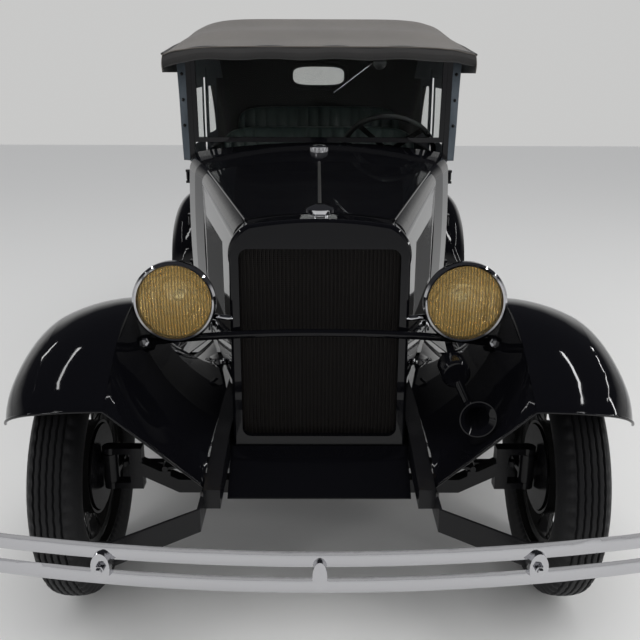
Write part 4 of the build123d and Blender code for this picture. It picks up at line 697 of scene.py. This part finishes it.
def cushion(name, low, high, lean, node, pleat_face):
    """Superellipsoid box, |x|^n + |y|^n + |z|^n = 1, then pleats pushed in along one face."""
    e = 0.28
    # the poles lie along x, spaced so that each channel gets its share of the grid
    spaced = np.sin(np.linspace(-math.pi / 2, math.pi / 2, 221))
    u, share = np.meshgrid(np.linspace(0, 2 * math.pi, 161), spaced)
    v = np.sign(share) * np.arcsin(np.clip(np.abs(share), 0, 1) ** (1 / e))
    y = power(np.cos(v), e) * power(np.cos(u), e)
    z = power(np.cos(v), e) * power(np.sin(u), e)
    x = share
    low, high = np.array(low), np.array(high)
    centre, half = (low + high) / 2, (high - low) / 2
    points = centre + np.stack([x, y, z], axis=-1) * half
    pleats = 1 - np.abs(np.sin(math.pi * points[..., 0] / PLEAT_WIDTH)) ** 0.5
    axis = 1 if pleat_face == "front" else 2
    facing = smooth_steps(0.2, 0.9, -y if axis == 1 else z)
    points[..., axis] += (0.020 if axis == 1 else -0.016) * pleats * facing
    rise = (points[..., 2] - low[2]) / (high[2] - low[2])
    points[..., 1] += lean * rise
    piece = surface(name, points, "chassis", leather, flip=True)
    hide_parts(node)


def y_of(station):
    """Metres along the car from a station in millimetres."""
    return AXLE_Y + station / 1000


def plinth(node, front, seat_z, floor_z):
    """The box under a cushion: one rectangle carried across the car, its ends closed to a point."""
    corners = np.array([(-1, 0), (1, 0), (1, 1), (-1, 1), (-1, 0)], float)
    y = y_of(front + 245) + corners[:, 0] * 0.213
    z = floor_z + corners[:, 1] * (seat_z - 0.122 - floor_z)
    rows = np.stack([np.stack([np.full(5, share * (SEAT_HALF - 0.02)), y, z], -1)
                     for share in (-1, -0.99, 0.99, 1)])
    rows[0] = rows[0].mean(0)
    rows[-1] = rows[-1].mean(0)
    box = surface(node + "_plinth", rows, "chassis", leather)
    box.modifiers.new("edge", "BEVEL").width = 0.006
    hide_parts(node)


SEATS = [  # node, front station, back's top, cushion's top, floor
    ("front_seat", 1430, 1.262, 0.900, 0.5905),
    ("rear_seat", 2250, 1.332, 0.930, 0.6565),
]
for node, front, top, seat_z, floor_z in SEATS:
    cushion(node + "_cushion", (-SEAT_HALF, y_of(front), seat_z - 0.120),
            (SEAT_HALF, y_of(front + 458), seat_z + 0.004), 0.0, node, "top")
    cushion(node + "_back", (-SEAT_HALF, y_of(front + 462), seat_z - 0.15),
            (SEAT_HALF, y_of(front + 572), top), 0.105, node, "front")
    plinth(node, front, seat_z, floor_z)
print("seats done")

# %% [markdown]
# Lamps: behind the amber glass lies a bright bowl that throws the light back, with a small bulb.

# %% Lamps
LENS_R = 0.1055
BULB = [(0.10, 0.0), (0.10, 0.010), (0.075, 0.011), (0.066, 0.015), (0.055, 0.016), (0.044, 0.012),
        (0.038, 0.0)]
TAIL_GLASS = [(0.050, 0.0), (0.050, 0.0395), (0.056, 0.037), (0.0605, 0.022), (0.062, 0.0)]


def lens(name, centre, body):
    """Closed lens: a domed front, and a back with a raised level band across its middle."""
    r, t = np.meshgrid(np.linspace(0, LENS_R, 41), np.linspace(0, 2 * math.pi, 144, endpoint=False))
    x, z = r * np.cos(t), r * np.sin(t)
    dome = -0.017 + 0.011 * (r / LENS_R) ** 2
    band = 0.0016 * (1 - smooth_steps(0.012, 0.018, np.abs(z))) + 0.0012 * smooth_steps(0.040, 0.046, z)
    front = centre + np.stack([x, dome, z], axis=-1)
    back = centre + np.stack([x, dome + 0.0062 - band * smooth_steps(0.0, 0.01, LENS_R - r), z], axis=-1)
    both = np.concatenate([front, back[:, ::-1]], axis=1)
    piece = surface(name, both, body, amber, wrap_rows=True)
    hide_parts("headlamp_lenses")


for label, side in SIDES:
    centre = place(side * 405, -66, 924)
    depth = np.linspace(0, 1, 20)
    bowl = np.stack([0.004 + 0.100 * (1 - depth ** 2), 0.004 + 0.098 * depth], axis=-1)
    turned("reflector_" + label, bowl, centre, (0, 1, 0), "chassis", silvered, count=64,
           flip=True)
    turned("bulb_" + label, BULB, centre, (0, 1, 0), "chassis", pane, count=24)
    stub = [place(side * 240, -44, 868), place(side * 262, -48, 872), place(side * 300, -50, 876)]
    tube("lamp_conduit_" + label, stub, 0.008, "chassis", bright, sides=16)
    lens("lens_" + label, centre, "chassis")
    turned("tail_glass_" + label, TAIL_GLASS, place(side * 545, 3020, 690), (0, 1, 0), "chassis",
           red_glass)
print("lamps done")

# %% [markdown]
# Small fasteners: hexagon heads with a domed washer, all of one place in a single mesh.

# %% Bolts
def bolts(name, points, axis, size, body, material):
    """Each bolt is six-sided rows (along, radius) turned about the axis; all share one mesh."""
    rows = np.array([(0, 1.35), (0.25, 1.35), (0.3, 1.0), (0.85, 1.0), (1.0, 0.8), (1.0, 0.0)]) * size
    shapes = [turned_rows(rows, p, axis, 6) for p in points]
    count, columns = shapes[0].shape[:2]
    faces = []
    for i in range(len(shapes)):
        faces += grid_faces(count, columns, wrap_rows=True, start=i * count * columns)
    points = np.concatenate([shape.reshape(-1, 3) for shape in shapes])
    make_object(name, points, faces, body, material, smooth=False)


def ring_points(centre, axis, radius, count):
    """Points evenly round a circle."""
    rows = turned_rows([(0, radius)], centre, axis, count)
    return rows[:, 0]


for name, x, s, z in TYRES:
    side = 1 if x > 0 else -1
    circle = ring_points(place(x + side * 16, s, z), (1, 0, 0), 0.067, 5)
    bolts("hub_nuts_" + name, circle, (side, 0, 0), 0.009, "wheel_" + name, dull_metal)
BOLTS = [  # name, points (x, station, height), axis as (x, y, z), size, finish; x is mirrored
    ("bumper_nuts_", [(510, -615, 437)], (0, -1, 0), 0.009, bright),
    ("lamp_bar_nuts_", [(506, -24, 790)], (0, -1, 0.2), 0.010, bright),
    ("rail_bolts_", [(303, -150, 524), (303, -110, 496)], (1, 0, 0), 0.008, bright),
    ("shackle_nuts_", [(303, -346, 476), (303, -346, 452)], (1, 0, 0), 0.010, dull_metal),
]
for label, side in SIDES:
    for name, points, axis, size, metal in BOLTS:
        places = [place(side * x, s, z) for x, s, z in points]
        bolts(name + label, places, (side * axis[0], *axis[1:]), size, "chassis", metal)
print("bolts done")

# %% [markdown]
# Bright and black trim that a hand would reach for: the hood's hinge bead and latches, door
# handles, the bead along the belt, step mats, dials and the gear lever.

# %% Trim
def skin_x(station):
    """Half-width of the body at its belt: the parabola through its front, middle and rear."""
    return float(np.polyval(np.polyfit([1336, 2050, 2795], [564, 598, 560], 2), station))


bead = np.stack([place(0, s, 1149.0 + (s - 60) * 51 / 870) for s in np.linspace(64, 930, 24)])
tube("hood_hinge_bead", bead, 0.0052, "chassis", dull_metal, sides=12)

LATCH_BOSS = [(0, 0.0), (0, 0.012), (0.008, 0.011), (0.012, 0.006), (0.013, 0.0)]
LATCH_LEVER = [(0.010, 0, 0.004), (0.014, 0.004, -0.012), (0.017, 0.006, -0.030)]
HANDLE_BOSS = [(0, 0.0), (0, 0.016), (0.005, 0.015), (0.009, 0.009), (0.030, 0.008), (0.034, 0.0)]
HANDLE_LEVER = [(0.028, 0.010, 0), (0.031, -0.02, 0.001), (0.032, -0.06, 0.002), (0.027, -0.098, 0.003)]


def latch(name, s, side, body):
    """A short lever on a round boss at the hood's lower edge."""
    x = 252 + 200 * (s - 60) / 870 + 1
    foot = place(side * x, s, 596)
    turned(name + "_boss", LATCH_BOSS, foot, (side, 0, 0), body, bright, count=24)
    lever = foot + np.array(LATCH_LEVER) * (side, 1, 1)
    tube(name + "_lever", lever, [0.006, 0.005, 0.004], body, bright)


def door_handle(name, s, side, body):
    """Boss, short shank and a lever that points forward."""
    x = skin_x(s) - 1
    foot = place(side * x, s, 1086)
    turned(name + "_boss", HANDLE_BOSS, foot, (side, 0, 0), body, bright, count=24)
    lever = foot + np.array(HANDLE_LEVER) * (side, 1, 1)
    tube(name + "_lever", lever, [0.007, 0.008, 0.007, 0.005], body, bright)


def belt(name, s0, s1, side, body):
    """Half-round bead on the skin, just under the belt."""
    line = np.stack([place(side * (skin_x(s) - 1.5), s, 1128) for s in np.linspace(s0, s1, 24)])
    tube(name, line, 0.006, body, gloss_black)


# %% [markdown]
# The front fender's mouth ends in a wired edge. Its line is two arcs across the crown, each
# tangent to the one before, and then the skirt's front edge down to the frame.

# %% Fender mouth
def turned_by(vector, angle):
    """A plane vector turned by an angle, or by each of many angles."""
    cos, sin = np.cos(angle), np.sin(angle)
    return np.stack([vector[0] * cos - vector[1] * sin, vector[0] * sin + vector[1] * cos], axis=-1)


def tangent_arc(start, heading, end, count):
    """Points of the circle that leaves start along heading and meets end, and its heading there."""
    start, heading, end = (np.array(v, float) for v in (start, heading, end))
    chord = end - start
    normal = np.array([-heading[1], heading[0]])
    radius = chord @ chord / (2 * chord @ normal)
    centre = start + radius * normal
    half = math.asin(np.clip(np.linalg.norm(chord) / (2 * abs(radius)), 0, 1))
    turn = 2 * half * np.sign(radius)
    points = centre + turned_by(start - centre, np.linspace(0, turn, count))
    return points, turned_by(heading, turn)


LIP_ANGLE, LIP_IN, LIP_OUT, LIP_DROP = math.radians(-53), 540, 836, 150
ARC_S, ARC_Z, ARC_R = -20, 461, 448
lip_s, lip_z = ARC_S + ARC_R * math.sin(LIP_ANGLE), ARC_Z + ARC_R * math.cos(LIP_ANGLE)
heading = np.array([1, -0.02]) / math.hypot(1, 0.02)
knee = (LIP_IN + 0.64 * (LIP_OUT - LIP_IN), -0.24 * LIP_DROP)
crown_a, heading = tangent_arc((LIP_IN, 0), heading, knee, 16)
crown_b, heading = tangent_arc(knee, heading, (LIP_OUT, -LIP_DROP), 16)
crown = np.concatenate([crown_a, crown_b[1:]])
lip = [place(x, lip_s + h * math.sin(LIP_ANGLE), lip_z + h * math.cos(LIP_ANGLE)) for x, h in crown[::-1]]
share = np.linspace(0, 1, 20)[1:, None]
skirt = place(LIP_IN, lip_s, lip_z) * (1 - share) + place(304, -330, 494) * share
mouth = np.concatenate([np.array(lip), skirt])
mouth[:, 1] -= 0.001

# %% [markdown]
# Both sides get the same fittings: latches on the hood, handles and a bead on each door, and on
# the running board a ribbed mat and a bright edge.

# %% Side fittings
for label, side in SIDES:
    tube("fender_mouth_" + label, mouth * (side, 1, 1), 0.0042, "chassis", gloss_black)
    for place_name, s in (("front", 330), ("rear", 760)):
        latch("hood_latch_%s_%s" % (place_name, label), s, side, "hood_side_" + label)
    for row, s, span_s in (("front", 1905, (1343, 1949)), ("rear", 2412, (2001, 2451))):
        door = "door_%s_%s" % (row, label)
        door_handle("handle_%s_%s" % (row, label), s, side, door)
        belt("belt_bead_%s_%s" % (row, label), *span_s, side, door)
    mat_x, mat_s = np.meshgrid(side * np.linspace(0.634, 0.818, 93), np.linspace(0.804, 2.106, 3))
    ribs = 0.4112 + 0.0022 * (np.abs(np.sin(math.pi * mat_x / 0.012)) ** 0.5)
    mat = np.stack([mat_x, AXLE_Y + mat_s, ribs], axis=-1)
    solid(surface("step_mat_" + label, mat, "chassis", mat_rubber, flip=side < 0), 0.0008)
    edge = np.stack([place(side * 836, s, 404) for s in np.linspace(760, 2150, 20)])
    tube("board_edge_" + label, edge, 0.005, "chassis", bright)
tail_line = low_line[(low_line[:, 1] > 2.458)]
tail_bead = np.stack([tail_line[:, 0] * 1.002, AXLE_Y + tail_line[:, 1] + 0.001,
                      np.full(len(tail_line), 1.143)], axis=-1)
tube("belt_bead_tail", tail_bead, 0.007, "chassis", gloss_black)

# %% [markdown]
# Inside, three pale dials with bright rings and the gear lever with its round knob. All of them
# are turned or swept, like the lamps and the trim.

# %% Dials and gear lever
DIAL = [(0, 0.0), (0, 0.034), (0.006, 0.034), (0.006, 0.0)]
DIAL_RING = [(0, 0.034), (0, 0.040), (0.008, 0.039), (0.010, 0.035), (0.007, 0.0335)]
KNOB = [(-0.02, 0.0), (-0.017, 0.012), (0, 0.02), (0.014, 0.015), (0.02, 0.0)]
for index, x in enumerate((-90, 0, 90)):
    face = place(x, 1296.4, 1126)
    turned("dial_%d" % index, DIAL, face, (0, 1, 0), "chassis", dial_white, count=40)
    turned("dial_ring_%d" % index, DIAL_RING, face, (0, 1, 0), "chassis", bright, count=40)
lever = np.array([place(0, 1180, 592), place(0, 1210, 700), place(0, 1280, 840), place(0, 1330, 920)])
tube("gear_lever", lever, [0.010, 0.008, 0.007, 0.007], "chassis", chassis_black)
turned("gear_knob", KNOB, place(0, 1334, 932), (0, 0, 1), "chassis", wood_black, count=32)
print("trim done")

# %% [markdown]
# The wiper hangs from a small round housing at the top of the windshield, on the driver's side.

# %% Wiper
pivot, tip = place(222, 1326, 1570), place(62, 1316, 1452)
arm = pivot + np.linspace(0, 1, 12)[:, None] * (tip - pivot)
tube("wiper_arm", arm - (0, 0.006, 0), 0.0028, "chassis", bright, sides=8)
blade = pivot + np.linspace(0.42, 1.0, 10)[:, None] * (tip - pivot)
HOUSING = [(0, 0.0), (0, 0.026), (0.006, 0.029), (0.030, 0.029), (0.036, 0.022), (0.038, 0.0)]
turned("wiper_motor", HOUSING, place(256, 1338, 1574), (0, -1, 0), "chassis", wood_black,
       count=40)
tube("wiper_blade", blade - (0, 0.001, 0), np.linspace(0.004, 0.0035, 10), "chassis", rubber,
     sides=8)

# %% [markdown]
# Studio: a plain pale floor, a pale world, and large soft lamps. Black enamel shows mostly what it
# mirrors, so the lamps are long strips that draw its curves.

# %% Studio floor
floor_material = plain("studio_floor", Base_Color=(0.74, 0.735, 0.72, 1), Roughness=0.9)[0]
FLOOR_HALF = 14.0
corners = [(FLOOR_HALF * x, FLOOR_HALF * y, 0) for x, y in ((-1, -1), (1, -1), (1, 1), (-1, 1))]
mesh = bpy.data.meshes.new("studio_floor")
mesh.from_pydata(corners, [], [(0, 1, 2, 3)])
mesh.materials.append(floor_material)
ground = bpy.data.objects.new("studio_floor", mesh)
bpy.context.scene.collection.objects.link(ground)
print("floor", 2 * FLOOR_HALF, "m wide")

# %% [markdown]
# The world does two jobs. A soft even light falls on everything, and what the camera, gloss and
# glass see is a pale wall that darkens upwards, so that black enamel stays black.

# %% World
def seen_directly(tree):
    """1 for camera, mirror and glass rays, 0 for the rest: the pale background is for those only."""
    rays, first, both = add(tree, "LightPath"), math_node(tree, "MAXIMUM"), math_node(tree, "MAXIMUM")
    wire(tree, (rays, "Is Camera Ray", first, 0), (rays, "Is Glossy Ray", first, 1),
         (first, 0, both, 0), (rays, "Is Transmission Ray", both, 1))
    return both


world = bpy.data.worlds.new("studio")
bpy.context.scene.world = world
world.use_nodes = True
tree = world.node_tree
soft = put(tree.nodes["Background"], Color=(0.75, 0.76, 0.78, 1), Strength=0.85)
shown, coord, split = add(tree, "Background"), add(tree, "TexCoord"), add(tree, "SeparateXYZ")
height = add(tree, "MapRange", From_Min=0.10, From_Max=0.32)
fade = mixer(tree, (0.58, 0.58, 0.575), (0.035, 0.036, 0.04))
choose = add(tree, "MixShader")
wire(tree, (coord, "Generated", split, 0), (split, "Z", height, "Value"),
     (height, "Result", fade, "Factor"), (fade, "Result", shown, "Color"),
     (seen_directly(tree), 0, choose, "Fac"), (soft, 0, choose, 1), (shown, 0, choose, 2),
     (choose, 0, tree.nodes["World Output"], "Surface"))
print("world", len(tree.nodes), "nodes")

# %% [markdown]
# Lamps: long strips and uprights for the streaks along the fenders, placed where the enamel
# mirrors them to the camera, and two broad lamps that light without being mirrored.

# %% Lamps and camera
def lamp(name, where, aim, size, power, mirrored=True, turn=0.0):
    """A soft rectangle pointed at a spot; mirrored: gloss shows it; turn: its spin in degrees."""
    data = bpy.data.lights.new(name, "AREA")
    data.shape = "RECTANGLE"
    data.size, data.size_y = size
    data.energy = power
    thing = bpy.data.objects.new(name, data)
    bpy.context.scene.collection.objects.link(thing)
    thing.location = where
    facing = (Vector(aim) - Vector(where)).to_track_quat("-Z", "Y")
    thing.rotation_euler = (facing @ Quaternion((0, 0, 1), math.radians(turn))).to_euler()
    thing.visible_glossy = mirrored
    thing.visible_camera = False


STRIPS = [  # x, y, length, turn, power
    (3.46, -1.77, 2.8, 22, 26),
    (6.2, 0.6, 5.2, 7, 40),
    (-3.3, -1.3, 2.2, -22, 12),
    (-5.2, 0.4, 4.0, -7, 16),
]
UPRIGHTS = [(3.9, -3.0), (4.6, -1.6), (-3.4, -3.8)]
for index, (x, y, length, turn, watts) in enumerate(STRIPS):
    lamp("strip_%d" % index, (x, y, 4.0), (x, y, 0), (0.13, length), watts, turn=turn)
for index, (x, y) in enumerate(UPRIGHTS):
    lamp("upright_%d" % index, (x, y, 1.9), (0, -1.0, 0.8), (0.10, 1.8), 12)
lamp("over", (0.4, -1.6, 6.0), (0, -0.4, 0.6), (4.0, 4.0), 110, mirrored=False)
lamp("front_fill", (0.8, -7.0, 3.4), (0, -1.0, 0.7), (3.0, 1.5), 30, mirrored=False)

camera_data = bpy.data.cameras.new("camera")
camera_data.lens = 44.06
camera_data.sensor_width = 36
camera = bpy.data.objects.new("camera", camera_data)
bpy.context.scene.collection.objects.link(camera)
camera.location = (-0.0082, -3.4632, 1.5365)
camera.rotation_euler = (math.radians(90 - 17.584), math.radians(-0.179), math.radians(-0.193))
bpy.context.scene.camera = camera
bpy.context.scene.view_settings.view_transform = "Standard"
